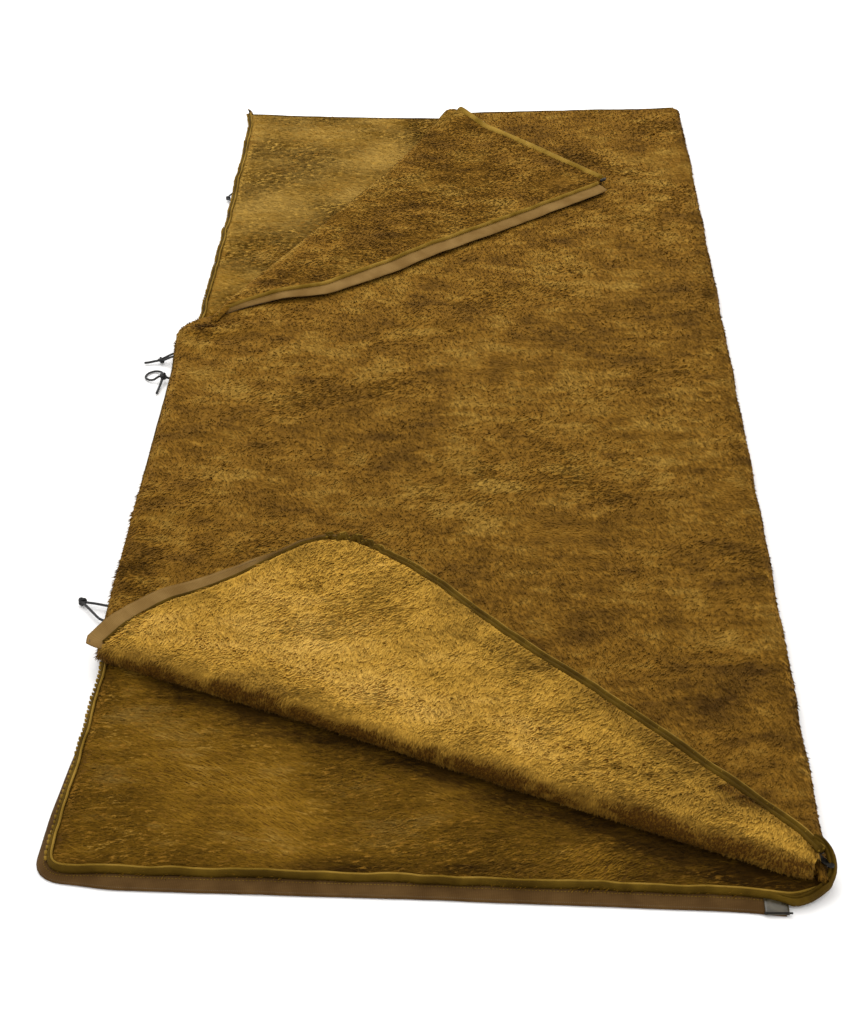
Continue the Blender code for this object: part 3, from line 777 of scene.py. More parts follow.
def row_of(name: str, path: Points, finish: bpy.types.Material, seed: int = 1,
           **numbers: float) -> bpy.types.Object:
    """Lay a row of small rounded pieces along a path.

    Args:
        name: the piece's name.
        path: the points that the row follows.
        finish: its material.
        seed: fixes its small unevenness.
        numbers: the row tree's inputs.

    Returns:
        The piece.
    """
    curve = bpy.data.curves.new(name + "_line", "CURVE")
    curve.dimensions = "3D"
    spline = curve.splines.new("POLY")
    spline.points.add(len(path) - 1)
    spline.points.foreach_set("co", np.column_stack([path, np.ones(len(path))]).ravel())
    return linked(name, ROW.grown(name, curve, finish, seed, **numbers), finish)


def tuft_cells(mesh: bpy.types.Mesh) -> None:
    """Give each tuft its own cell of the bake map: three sides side by side, its base above."""
    loops_each = 12
    count = len(mesh.loops) // loops_each
    side = max(1, math.ceil(math.sqrt(count)))
    cell = []
    for polygon in mesh.polygons[:4]:
        tall = any(mesh.attributes["tip"].data[v].value > 0.5 for v in polygon.vertices)
        number = sum(1 for item in cell if item[0] == "side")
        if tall:
            low = [v for v in polygon.vertices if mesh.attributes["tip"].data[v].value < 0.5]
            spots = []
            for v in polygon.vertices:
                if mesh.attributes["tip"].data[v].value > 0.5:
                    spots.append((number / 3 + 1 / 6, 0.62))
                else:
                    spots.append((number / 3 + (0.03 if v == low[0] else 0.30), 0.05))
            cell.append(("side", spots))
        else:
            cell.append(("base", [(0.1, 0.70), (0.9, 0.70), (0.5, 0.95)]))
    spots = np.array([spot for _, group in cell for spot in group])
    place = np.arange(count)
    corner = np.column_stack([place % side, place // side])
    uv = (corner[:, None, :] + spots[None]) / side
    layer = mesh.uv_layers.get("OFBake") or mesh.uv_layers.new(name="OFBake")
    layer.data.foreach_set("uv", uv.astype(np.float32).ravel())


@dataclass
class Pile:
    """The pile on one face of a cloth, as tufts on a region of it."""

    name: str
    finish: bpy.types.Material
    seed: int
    length: float = 6.0 * MM
    width: float = 1.0 * MM
    upright: float = 0.22
    lean: float = 1.0
    scatter: float = 0.36

    def grow(self, cloth: bpy.types.Mesh, cover: Points) -> bpy.types.Object:
        """Grow the tufts.

        Args:
            cloth: the mesh, which carries comb, pile and zone.
            cover: tufts per square metre at each of its points.

        Returns:
            The piece.
        """
        ground = cloth.copy()
        point_values(ground, "cover", cover)
        mesh = PILE.grown(self.name, ground, self.finish, self.seed, Length=self.length, Width=self.width,
                          Upright=self.upright, Lean=self.lean, Scatter=self.scatter)
        bpy.data.meshes.remove(ground)
        for spare in ("cover", "comb", "pile"):
            if spare in mesh.attributes:
                mesh.attributes.remove(mesh.attributes[spare])
        place = np.empty(len(mesh.vertices) * 3)
        mesh.vertices.foreach_get("co", place)
        place[2::3] = np.maximum(place[2::3], 0.4 * MM)
        mesh.vertices.foreach_set("co", place)
        tuft_cells(mesh)
        return linked(self.name, mesh, self.finish, smooth=False)


# ---------------------------------------------------------------- the cloth


@dataclass(frozen=True)
class Crease:
    """A straight crease of the upper layer, with its own coordinates: s along it, t inwards."""

    start: tuple[float, float]
    end: tuple[float, float]
    side: int

    @property
    def way(self) -> Points:
        """The direction along the crease."""
        return unit(np.subtract(self.end, self.start))

    @property
    def inward(self) -> Points:
        """The direction across it, towards the middle of the blanket."""
        return self.side * np.array([-self.way[1], self.way[0]])

    def local(self, plan: Points) -> tuple[Points, Points]:
        """Turn places in plan into s and t."""
        offset = plan[..., :2] - np.array(self.start)
        return offset @ self.way, offset @ self.inward

    def plan(self, s: Points, t: Points) -> Points:
        """Turn s and t into places in plan."""
        return np.array(self.start) + s[..., None] * self.way + t[..., None] * self.inward


@dataclass(frozen=True)
class Wrinkle:
    """A soft ridge in the cloth between two places in plan."""

    start: tuple[float, float]
    end: tuple[float, float]
    height: float
    width: float

    def lift(self, plan: Points) -> Points:
        """How far the wrinkle lifts the cloth at each place."""
        start, line = np.array(self.start), np.subtract(self.end, self.start)
        share = np.clip((plan - start) @ line / (line @ line), 0.0, 1.0)
        gap = np.linalg.norm(plan - (start + share[..., None] * line), axis=-1)
        fade = 1.0 - 0.75 * ease(share, 0.2, 1.0)
        return self.height * fade * np.exp(-(gap / self.width) ** 2)


@dataclass
class TurnedCorner:
    """A corner of the upper layer folded back over it, with its roll at the crease."""

    name: str
    layer: Layer
    crease: Crease
    rows: Points
    rim_s: Points
    rim_t: Points
    shift_s: Points
    shift_t: Points
    roll_s: Points
    roll_height: Points
    roll_depth: float
    comb: Colour
    roll_start: float = 0.006

    def roll_place(self, s: Points) -> Points:
        """How far inwards the roll's middle lies."""
        return self.roll_start + np.interp(s, self.shift_s, self.shift_t)

    def reach(self, s: Points) -> Points:
        """How far inwards the corner's rim lies."""
        return np.maximum(np.interp(s, self.rim_s, self.rim_t), self.roll_place(s) + 4 * MM)

    def height(self, s: Points, t: Points) -> Points:
        """Height of the turned-back cloth's middle."""
        crest = UPPER_MID + 2 * np.interp(s, self.roll_s, self.roll_height)
        centre = self.roll_place(s)
        level = FLAP_MID + (crest - FLAP_MID) * (1.0 - ease(t, centre + 5 * MM, centre + 85 * MM))
        plan = self.crease.plan(s, t)
        wave = 1.6 * MM * cloud(plan, 0.12, 4.0, 2) + 0.7 * MM * cloud(plan, 0.035, 7.0, 2)
        inside = ease(t, centre, centre + 40 * MM)
        near_rim = 1.0 - ease(self.reach(s) - t, 0.0, 25 * MM)
        return np.maximum(level + inside * wave + 1.4 * MM * near_rim * inside, np.minimum(level, FLAP_MID))

    def shell(self) -> Shell:
        """The corner as a shell: from inside the upper layer, round the roll, out to the rim."""
        s = self.rows[:, None] if self.crease.side > 0 else self.rows[::-1, None]
        centre = self.roll_place(s)
        rise = np.interp(s, self.roll_s, self.roll_height)
        lead = np.array([[11.0, 8.0, 5.0, 2.0]]) * MM
        angle = np.radians(np.linspace(-90.0, 90.0, 17))[None, :]
        roll_t = centre - self.roll_depth * np.cos(angle)
        roll_z = UPPER_MID + rise * (1.0 + np.sin(angle))
        share = np.concatenate([np.linspace(0.0, 0.9, 46)[1:], [0.94, 0.97, 0.985, 0.995, 1.0]])[None, :]
        top_t = centre + share * (self.reach(s) - centre)
        every_s = np.broadcast_to(s, (len(s), lead.size + angle.size + share.size))
        t = np.concatenate([centre + lead, roll_t, top_t], axis=1)
        z = np.concatenate([np.full((len(s), lead.size), UPPER_MID), roll_z,
                            self.height(np.broadcast_to(s, top_t.shape), top_t)], axis=1)
        half = np.full(t.shape, HALF_CLOTH)
        half[:, :4] *= np.array([0.25, 0.45, 0.65, 0.9])
        rim_gap = np.clip((self.reach(s) - top_t) / (5 * MM), 0.0, 1.0)
        half[:, 21:] *= np.sqrt(1.0 - (1.0 - np.maximum(rim_gap, 0.04)) ** 2)
        ends = np.minimum(np.arange(len(s)), np.arange(len(s))[::-1])[:, None]
        half *= np.interp(ends, [0, 1, 2, 3], [0.2, 0.6, 0.85, 1.0])
        return Shell(np.concatenate([self.crease.plan(every_s, t), z[..., None]], axis=-1), half)

    def rim(self, s_from: float, s_to: float, step: float = 4 * MM, lift: float = 0.0) -> Points:
        """The rim's middle line between two places along the crease, as points in space."""
        table = np.column_stack([self.rim_s, self.rim_t])
        table = table[(table[:, 0] > s_from) & (table[:, 0] < s_to)]
        ends = [[s, float(self.reach(np.array(s)))] for s in (s_from, s_to)]
        line = resampled(np.vstack([ends[0], table, ends[1]]), step / 4)
        for _ in range(14):
            line[1:-1] = (line[:-2] + 2 * line[1:-1] + line[2:]) / 4
        line = resampled(line, step)
        plan = self.crease.plan(line[:, 0], line[:, 1])
        return np.column_stack([plan, self.height(line[:, 0], line[:, 1]) + lift])

    def outwards(self, path: Points) -> Points:
        """At each point of a rim line, the direction away from the corner's cloth."""
        tangent = unit(np.gradient(path[:, :2], axis=0))
        side = np.column_stack([tangent[:, 1], -tangent[:, 0]])
        middle = self.crease.plan(np.array(0.45 * self.rows[-1]), np.array(0.08))
        flip = np.sign(((path[:, :2] - middle) * side).sum(1, keepdims=True))
        return np.column_stack([side * flip, np.zeros(len(path))])

    def covers(self, plan: Points) -> Points:
        """1 where the turned-back corner lies over the upper layer, 0 elsewhere."""
        s, t = self.crease.local(plan)
        inside = (s > self.rows[0]) & (s < self.rows[-1]) & (t < self.reach(s) - 12 * MM)
        return inside.astype(float)

    def cut(self, y: Points) -> Points:
        """X of the upper layer's edge under the roll, at each y."""
        s = (y - self.crease.start[1]) / self.crease.way[1]
        t = self.roll_place(s) + 2 * MM
        s = (y - self.crease.start[1] - t * self.crease.inward[1]) / self.crease.way[1]
        return self.crease.plan(s, t)[..., 0]


def head_corner() -> TurnedCorner:
    """The head-left corner, a large limp triangle whose zip edge sags towards the foot."""
    rim_s = [0.055, 0.080, 0.1454, 0.188, 0.2114, 0.2436, 0.3083, 0.3816, 0.4402, 0.5666, 0.692, 0.706,
             0.715, 0.7524, 0.7939, 0.8278, 0.852, 0.870]
    rim_t = [0.004, 0.012, 0.0532, 0.0932, 0.1131, 0.1282, 0.1589, 0.1892, 0.2162, 0.2759, 0.335, 0.339,
             0.330, 0.2468, 0.1573, 0.078, 0.035, 0.010]
    rows = np.concatenate([np.linspace(0.055, 0.70, 86), np.linspace(0.706, 0.870, 34)])
    return TurnedCorner("head_corner", Layer.HEAD, Crease((-0.375, 0.115), (0.008, 0.95), -1), rows,
                        np.array(rim_s), np.array(rim_t), np.array([0.05, 0.2, 0.6, 0.75, 0.87]),
                        np.array([0.010, 0.013, 0.013, 0.004, -0.010]),
                        np.array([0.05, 0.11, 0.7, 0.84, 0.9]),
                        np.array([2.5, 6.5, 6.5, 9.5, 9.0]) * MM, 6.5 * MM, (-0.35, -1.0, -0.1))


def foot_corner() -> TurnedCorner:
    """The foot-left corner, whose roll is puffed up along its middle."""
    rim_s = [0.0, 0.003, 0.010, 0.028, 0.058, 0.075, 0.092, 0.108, 0.124, 0.156, 0.18, 0.235, 0.29, 0.345,
             0.404, 0.505, 0.60, 0.691, 0.775, 0.802]
    rim_t = [0.006, 0.030, 0.070, 0.112, 0.158, 0.190, 0.235, 0.272, 0.291, 0.304, 0.300, 0.284, 0.262,
             0.232, 0.205, 0.163, 0.120, 0.077, 0.035, 0.018]
    rows = np.concatenate([np.linspace(0.002, 0.150, 48), np.linspace(0.157, 0.800, 84)])
    return TurnedCorner("foot_corner", Layer.FOOT, Crease((-0.375, -0.624), (0.3575, -0.95), 1), rows,
                        np.array(rim_s), np.array(rim_t), np.array([0.0, 0.3, 0.5, 0.8]),
                        np.array([0.006, 0.005, 0.0, -0.003]), np.array([0.0, 0.05, 0.15, 0.6, 0.75, 0.80]),
                        np.array([6.5, 8.0, 10.2, 9.6, 8.0, 6.5]) * MM, 8.5 * MM, (0.0, 0.0, 0.0))


@dataclass
class FoldedSheet:
    """The plush sheet folded double: lower layer, folded edge and what lies down of the upper."""

    head: TurnedCorner
    foot: TurnedCorner
    left_y: tuple[float, ...] = (-0.90, -0.86, -0.77, -0.61, -0.3, 0.0, 0.2, 0.55, 0.9, 0.94)
    left_x: tuple[float, ...] = (-0.373, -0.373, -0.369, -0.369, -0.368, -0.366, -0.360, -0.358, -0.362,
                                 -0.369)
    corner: float = 15 * MM
    end_y: float = 0.94
    lower_columns: int = 58
    fold_columns: int = 15
    upper_columns: int = 62
    wrinkles: tuple[Wrinkle, ...] = (
        Wrinkle((-0.381, -0.342), (-0.250, -0.316), 5.0 * MM, 11 * MM),
        Wrinkle((-0.378, -0.300), (-0.270, -0.255), 3.0 * MM, 12 * MM),
        Wrinkle((-0.378, -0.190), (-0.240, -0.100), 3.0 * MM, 16 * MM),
        Wrinkle((-0.376, -0.020), (-0.210, 0.070), 2.6 * MM, 15 * MM),
        Wrinkle((-0.372, 0.118), (-0.235, 0.150), 6.5 * MM, 13 * MM),
        Wrinkle((-0.366, 0.090), (-0.280, 0.075), 3.5 * MM, 10 * MM),
        Wrinkle((-0.372, -0.480), (-0.240, -0.400), 3.2 * MM, 14 * MM),
        Wrinkle((0.200, 0.200), (0.340, 0.260), 1.8 * MM, 18 * MM),
        Wrinkle((0.120, -0.350), (0.340, -0.300), 1.6 * MM, 20 * MM),
        Wrinkle((-0.05, 0.180), (0.180, 0.100), 1.8 * MM, 22 * MM),
    )

    def rows(self) -> Points:
        """Where the rows lie along the blanket, closer together at both ends."""
        ends = np.array([0.0, 1.0, 2.5, 5.0, 9.0, 15.0, 22.0]) * MM
        middle = np.linspace(-self.end_y + 30 * MM, self.end_y - 30 * MM, 166)
        return np.concatenate([ends - self.end_y, middle, self.end_y - ends[::-1]])

    def left_edge(self, y: Points) -> Points:
        """X of the lower layer's left edge, with its rounded foot corner."""
        edge = np.interp(y, self.left_y, self.left_x)
        low = -self.end_y + self.corner
        drop = np.clip((low - y) / self.corner, 0.0, 0.999)
        return edge + self.corner * (1.0 - np.sqrt(1.0 - drop ** 2))

    def upper_edge(self, y: Points) -> Points:
        """X of the upper layer's left edge: the ear, the side, and under both rolls."""
        side = np.interp(y, [-0.62, -0.5, 0.03, 0.09, 0.125, 0.15, 0.162, 0.176],
                         [-0.377, -0.379, -0.380, -0.384, -0.387, -0.383, -0.372, -0.352])
        cut = np.where(y > 0.0, self.head.cut(y), self.foot.cut(y))
        turned = (y > 0.176) | (y < self.foot.crease.start[1] + 4 * MM)
        return np.where(turned, cut, side)

    @staticmethod
    def fold_x(y: Points) -> Points:
        """X of the middle of the fold's half ring."""
        line = np.interp(y, [-0.95, -0.8, -0.3, 0.3, 0.8, 0.95],
                         [0.3620, 0.3635, 0.3665, 0.3675, 0.3665, 0.3650])
        return line + 1.2 * MM * np.sin(y * 41.0) * np.cos(y * 13.0)

    def shell(self) -> Shell:
        """The sheet as one shell: rows from foot to head, columns round from left edge to left edge."""
        y = self.rows()[:, None]
        turn_x, left, cut = self.fold_x(y), self.left_edge(y), self.upper_edge(y)
        edge = np.array([0.0, 0.0015, 0.004, 0.009, 0.016])
        inner = np.concatenate([edge, np.linspace(0.025, 1.0, self.lower_columns - 5)])[None, :]
        back = np.concatenate([np.linspace(0.0, 0.975, self.upper_columns - 5), 1.0 - edge[::-1]])[None, :]
        angle = np.radians(np.linspace(-90.0, 90.0, self.fold_columns + 2))[None, 1:-1]
        radius = (UPPER_MID - LOWER_MID) / 2
        x = np.concatenate([left + inner * (turn_x - left), turn_x + radius * np.cos(angle),
                            turn_x + back * (cut - turn_x)], axis=1)
        every_y = np.broadcast_to(y, x.shape)
        foot_pull = np.interp(x, [-0.37, -0.32, -0.22, -0.03, 0.1, 0.25, 0.30, 0.338, 0.358, 0.366],
                              [0.003, 0.002, -0.001, -0.006, -0.0115, -0.017, -0.020, -0.025, -0.018, -0.012])
        head_pull = np.interp(x, [-0.37, -0.30, -0.15, 0.0, 0.15, 0.3, 0.366],
                              [0.014, 0.006, -0.004, -0.008, -0.004, 0.004, 0.010])
        foot_pull[:, -self.upper_columns:] *= ease(x[:, -self.upper_columns:] - cut, 5 * MM, 60 * MM)
        moved = every_y + foot_pull * ease(-every_y, 0.78, self.end_y)
        moved = moved + head_pull * ease(every_y, 0.78, self.end_y)
        plan = np.stack([x, moved], axis=-1)
        first, last = self.lower_columns, self.lower_columns + self.fold_columns
        lower_wave = 0.7 * MM * cloud(plan[:, :first], 0.09, 2.0, 2)
        upper_wave = 1.5 * MM * cloud(plan[:, last:], 0.15, 3.0, 2)
        upper_wave = upper_wave + 0.8 * MM * cloud(plan[:, last:], 0.045, 5.0, 2)
        for wrinkle in self.wrinkles:
            upper_wave += wrinkle.lift(plan[:, last:])
        from_fold = ease(turn_x - x[:, last:], 0.0, 40 * MM)
        covered = np.maximum(self.head.covers(plan[:, last:]), self.foot.covers(plan[:, last:]))
        upper_wave = np.minimum(upper_wave, 8 * MM) * from_fold * (1.0 - 0.8 * covered)
        ring = np.broadcast_to((UPPER_MID + LOWER_MID) / 2 + radius * np.sin(angle),
                               (len(y), self.fold_columns))
        z = np.concatenate([LOWER_MID + lower_wave * 0.5, ring, UPPER_MID + upper_wave], axis=1)
        half = np.full(x.shape, HALF_CLOTH)
        z[:, :first] = np.minimum(z[:, :first], (BEND_START + LOWER_FLOOR) / 2)
        half[:, :first] = z[:, :first] - LOWER_FLOOR
        gap = np.minimum.reduce([every_y + self.end_y, self.end_y - every_y])
        gap[:, :first] = np.minimum(gap[:, :first], x[:, :first] - left)
        side_gap = x[:, last:] - cut
        gap[:, last:] = np.minimum(gap[:, last:], side_gap)
        free = (every_y[:, last:] > -0.62) & (every_y[:, last:] < 0.165)
        roll = ease(36 * MM - side_gap, 0.0, 36 * MM) * free
        z[:, last:] += 2.4 * MM * roll - 7.5 * MM * ease(13 * MM - side_gap, 0.0, 13 * MM) * free
        half *= np.sqrt(1.0 - (1.0 - np.clip(gap / (5 * MM), 0.03, 1.0)) ** 2)
        z[:, last:] = np.maximum(z[:, last:], BEND_END + half[:, last:])
        return Shell(np.dstack([plan, z]), half)

    def make(self, wardrobe: Wardrobe) -> tuple[bpy.types.Object, list[bpy.types.Object], Shell]:
        """Build the sheet and its pile.

        Args:
            wardrobe: the finishes.

        Returns:
            The cloth, its pile pieces and the shell, whose borders the trims follow.
        """
        shell = self.shell()
        rows, columns = shell.half.shape
        first, last = self.lower_columns, self.lower_columns + self.fold_columns
        cloth = linked("plush_sheet", shell.mesh("plush_sheet"), wardrobe.outer)
        outer, inner = shell.outer, shell.inner
        plan = shell.middle[..., :2]
        x, y = plan[..., 0], plan[..., 1]
        column = np.broadcast_to(np.arange(columns), (rows, columns))
        lower, fold, upper = column < first, (column >= first - 1) & (column <= last), column >= last

        angle = -math.pi / 2 + 1.0 * cloud(plan, 0.16, 11.0, 2) + 0.7 * cloud(plan, 0.05, 13.0, 2)
        comb = np.stack([np.cos(angle) * 0.9, np.sin(angle), np.full(angle.shape, -0.15)], -1)
        streak = np.pi + 0.9 * cloud(plan, 0.12, 17.0, 2) + 0.35
        lower_comb = np.stack([np.cos(streak), np.sin(streak) * 0.7, np.full(streak.shape, -0.1)], -1)
        inner_comb = np.where(lower[..., None], lower_comb, comb * [1.0, 1.0, -1.0])
        flat = []
        for ways, faces in ((comb, shell.out), (inner_comb, -shell.out)):
            flat.append(unit(ways - (ways * faces).sum(-1, keepdims=True) * faces).reshape(-1, 3))
        point_values(cloth.data, "comb", np.concatenate(flat))

        s_foot, t_foot = self.foot.crease.local(plan)
        shown = 1.0 - ease(t_foot, 15 * MM, 60 * MM)
        # Painted shade: the lower layer darkens towards the mouth under the foot corner.
        mouth_painted_shade = ease(s_foot, 0.30, 0.78) * ease(-y, 0.55, 0.75) * shown
        # Painted shadow: a band of the lower layer under and just outside the foot corner's roll.
        roll_painted_shadow = np.exp(-np.clip(-t_foot - 6 * MM, 0.0, 1.0) / (13 * MM)) * ease(s_foot, 0.0, 0.1) * shown
        shade_zone = 0.50 + 0.07 * cloud(plan, 0.22, 23.0, 2)
        outer_zone = shade_zone - 0.09 * ease(-y, 0.1, 0.6) * ease(x, 0.0, 0.35)
        inner_zone = shade_zone + 0.26 * ease(y, 0.1, 0.6) - 0.13 * mouth_painted_shade - 0.05 * ease(-y, 0.3, 0.6)
        streaks = np.sin(26.0 * plan[..., 1] + 3.0 * cloud(plan, 0.2, 33.0, 2))
        inner_zone += 0.10 * (1.0 - ease(x, -0.36, 0.0)) + 0.05 * streaks
        # Painted shadow under the foot corner's roll, deepest near the mouth.
        inner_zone -= 0.80 * roll_painted_shadow * (0.5 + 0.5 * mouth_painted_shade)
        beside = np.minimum(x - self.left_edge(y), y + self.end_y)
        hem_shade = (1.0 - ease(beside, 6 * MM, 30 * MM)) * ease(0.2 - y, 0.0, 0.4)
        inner_zone -= 0.26 * hem_shade * (1.0 - 0.8 * mouth_painted_shade)
        inner_zone -= 0.02 * ease(-y, 0.5, 0.7)
        # Painted shade in the hollow of the ear fold.
        outer_zone -= 0.55 * np.exp(-((x + 0.352) ** 2 + (y - 0.138) ** 2) / (15 * MM) ** 2)
        # Painted shadow: a band of the upper layer just below the head corner's tape.
        from_tape = y - 0.150 - 0.25 * (x + 0.33)
        outer_zone -= 0.22 * np.exp(-((x + 0.290) / 0.05) ** 2 - (from_tape / 0.014) ** 2)
        point_values(cloth.data, "zone", np.concatenate([outer_zone.ravel(), inner_zone.ravel()]))
        length = 1.0 + 0.15 * cloud(plan, 0.04, 29.0, 1)
        near_edge = length * (0.3 + 0.7 * ease(x - self.left_edge(y), 4 * MM, 24 * MM))
        point_values(cloth.data, "pile", np.concatenate([length.ravel(), near_edge.ravel()]))

        point_values(cloth.data, "tip", np.full(2 * rows * columns, GROUND))
        nothing = np.zeros((rows, columns))
        under = np.maximum(self.head.covers(plan), self.foot.covers(plan))
        thick = np.interp(y, [-0.95, -0.4, 0.1, 0.95], [21.0, 17.0, 13.5, 11.5]) * 1e4
        top = np.where(upper, np.where(under > 0.5, 4e4, thick), 0.0)
        reach = np.stack([corner.crease.local(plan)[1] for corner in (self.head, self.foot)])
        seen = (reach.min(0) < 35 * MM) & lower
        floor = np.where(seen, np.interp(y, [-0.95, -0.4, 0.1, 0.95], [21.0, 18.0, 13.0, 11.5]) * 1e4, 0.0)
        hidden = np.where(lower & ~seen, 3e4, 0.0)
        ceiling = np.where(upper, 3e4, 0.0)
        folded = np.where(fold, 16e4, 0.0)
        bands = ((-1.0, -0.36, "foot"), (-0.36, 0.05, "middle"), (0.05, 0.46, "chest"), (0.46, 1.0, "head"))
        pile = []
        for number, (low, high, place) in enumerate(bands):
            cover = np.where((y >= low) & (y < high), top, nothing)
            piece = Pile(f"upper_pile_{place}", wardrobe.outer, 31 + number).grow(
                cloth.data, np.concatenate([cover.ravel(), nothing.ravel()]))
            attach(piece, Layer.UPPER.value)
            pile.append(piece)
        regions = (("lower_pile_open", wardrobe.inner, nothing, 0.93 * floor, Layer.LOWER, 8.5 * MM),
                   ("lower_pile_covered", wardrobe.inner, nothing, hidden, Layer.LOWER, 4.0 * MM),
                   ("upper_pile_inside", wardrobe.inner, nothing, ceiling, Layer.UPPER, 4.0 * MM),
                   ("fold_pile", wardrobe.outer, folded, np.where(fold, 2e4, 0.0), None, 4.5 * MM))
        for number, (name, finish, outside, inside, layer, long) in enumerate(regions):
            combed = {"width": 0.85 * MM, "scatter": 0.24} if name == "lower_pile_open" else {}
            piece = Pile(name, finish, 41 + number, length=long, **combed).grow(
                cloth.data, np.concatenate([outside.ravel(), inside.ravel()]))
            if layer is None:
                self.bend(piece)
            else:
                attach(piece, layer.value)
            pile.append(piece)
        self.bend(cloth)
        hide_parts("lower_panel", "upper_panel")
        return cloth, pile, shell

    @staticmethod
    def bend(piece: bpy.types.Object) -> None:
        """Bake a piece's place into its mesh, for a piece that spans the lower and upper layer round the
        folded edge.
        """
        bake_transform(piece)


def make_corner(corner: TurnedCorner, finish: bpy.types.Material, back: bpy.types.Material,
                crowd: tuple[float, float, float], long: float, seed: int,
                node: str) -> tuple[bpy.types.Object, list[bpy.types.Object]]:
    """Build a turned-back corner and its pile.

    Args:
        corner: its shape.
        finish: of the side that shows.
        back: of the side that faces down.
        crowd: tufts per square centimetre on the top, the roll and the underside.
        long: length of the tufts that show.
        seed: fixes the tufts.
        node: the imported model's node that it stands for.

    Returns:
        The cloth and its pile pieces.
    """
    shell = corner.shell()
    rows, columns = shell.half.shape
    cloth = linked(f"{corner.name}_sheet", shell.mesh(f"{corner.name}_sheet"), finish)
    plan = shell.middle[..., :2]
    down = -unit(np.gradient(shell.middle, axis=1))
    if any(corner.comb):
        down = np.broadcast_to(np.array(corner.comb), down.shape) + 0.6 * down
    swirl = 0.75 * cloud(plan, 0.09, 3.0 + seed, 2) + 0.4 * cloud(plan, 0.03, 5.0 + seed, 2)
    side = np.cross(shell.out, down)
    way = down * np.cos(swirl)[..., None] + side * np.sin(swirl)[..., None]
    flat = [unit(way - (way * face).sum(-1, keepdims=True) * face).reshape(-1, 3)
            for face in (shell.out, -shell.out)]
    point_values(cloth.data, "comb", np.concatenate(flat))
    s, t = corner.crease.local(plan)
    zone = 0.5 + 0.08 * cloud(plan, 0.12, 19.0 + seed, 3)
    column = np.broadcast_to(np.arange(columns), (rows, columns))
    # Painted shade on the roll's columns that face down.
    roll_underside_shade = 1.0 - ease(column, 7.0, 19.0)
    if corner.crease.side > 0:
        zone += 0.13 - 0.26 * ease(s, 0.25, 0.78) - 0.22 * ease(t / corner.reach(s), 0.60, 0.95)
        # Painted shade on the foot roll's underside, fading out over the cloth above it.
        zone -= 0.60 * roll_underside_shade + 0.36 * (1.0 - ease(column, 15.0, 31.0))
    else:
        # Painted highlight along the head roll's crest, and painted shade on its underside.
        zone += 0.26 * np.exp(-((column - 15.0) / 4.0) ** 2) - 0.40 * (1.0 - ease(column, 4.0, 12.0))
    back_zone = (0.17 if corner.crease.side > 0 else 0.5) + 0.06 * cloud(plan, 0.12, 21.0 + seed, 3)
    point_values(cloth.data, "zone", np.concatenate([zone.ravel(), back_zone.ravel()]))
    length = (1.0 + 0.15 * cloud(plan, 0.03, 29.0, 1)) * (0.55 + 0.45 * ease(column, 18.0, 30.0))
    point_values(cloth.data, "pile", np.concatenate([length.ravel(), length.ravel()]))
    point_values(cloth.data, "tip", np.full(2 * rows * columns, GROUND))
    roll, top = column <= 21, column > 20
    none = np.zeros((rows, columns))
    dense = [value * 1e4 for value in crowd]
    made = []
    parts = (("top", finish, np.where(top, dense[0], 0.0), none, corner.layer, long),
             ("roll", finish, np.where(roll, dense[1], 0.0), np.where(roll, dense[2], 0.0), None, long),
             ("underside", back, none, np.where(top, dense[2], 0.0), corner.layer, 3.5 * MM))
    for number, (part, stuff, outside, inside, layer, tall) in enumerate(parts):
        piece = Pile(f"{corner.name}_pile_{part}", stuff, seed + number, length=tall).grow(
            cloth.data, np.concatenate([outside.ravel(), inside.ravel()]))
        if layer is None:
            bend_corner(piece)
        else:
            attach(piece, layer.value)
        made.append(piece)
    bend_corner(cloth)
    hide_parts(node)
    return cloth, made


def bend_corner(piece: bpy.types.Object) -> None:
    """Bake a piece's place into its mesh, for a piece that spans the upper layer and a turned-back corner
    round its crease.
    """
    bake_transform(piece)


# ---------------------------------------------------------------- sewn edges and the zip


def uneven(path: Points, out: Points, side: float, rise: float, size: float, seed: float) -> Points:
    """Shake a line a little sideways and up, as sewn cloth does.

    Args:
        path: the line.
        out: the sideways direction at each point.
        side: how far it shakes sideways.
        rise: how far it shakes up.
        size: length of a shake.
        seed: moves the noise.

    Returns:
        The new line.
    """
    shaken = path + out * (side * cloud(path, size, seed, 2))[:, None]
    shaken[:, 2] += rise * cloud(path, size, seed + 5.0, 2)
    return shaken


def raised(path: Points, out: Points, side: float, rise: float) -> Points:
    """Move a line sideways along out, and up."""
    return path + out * side + np.array([0.0, 0.0, rise])


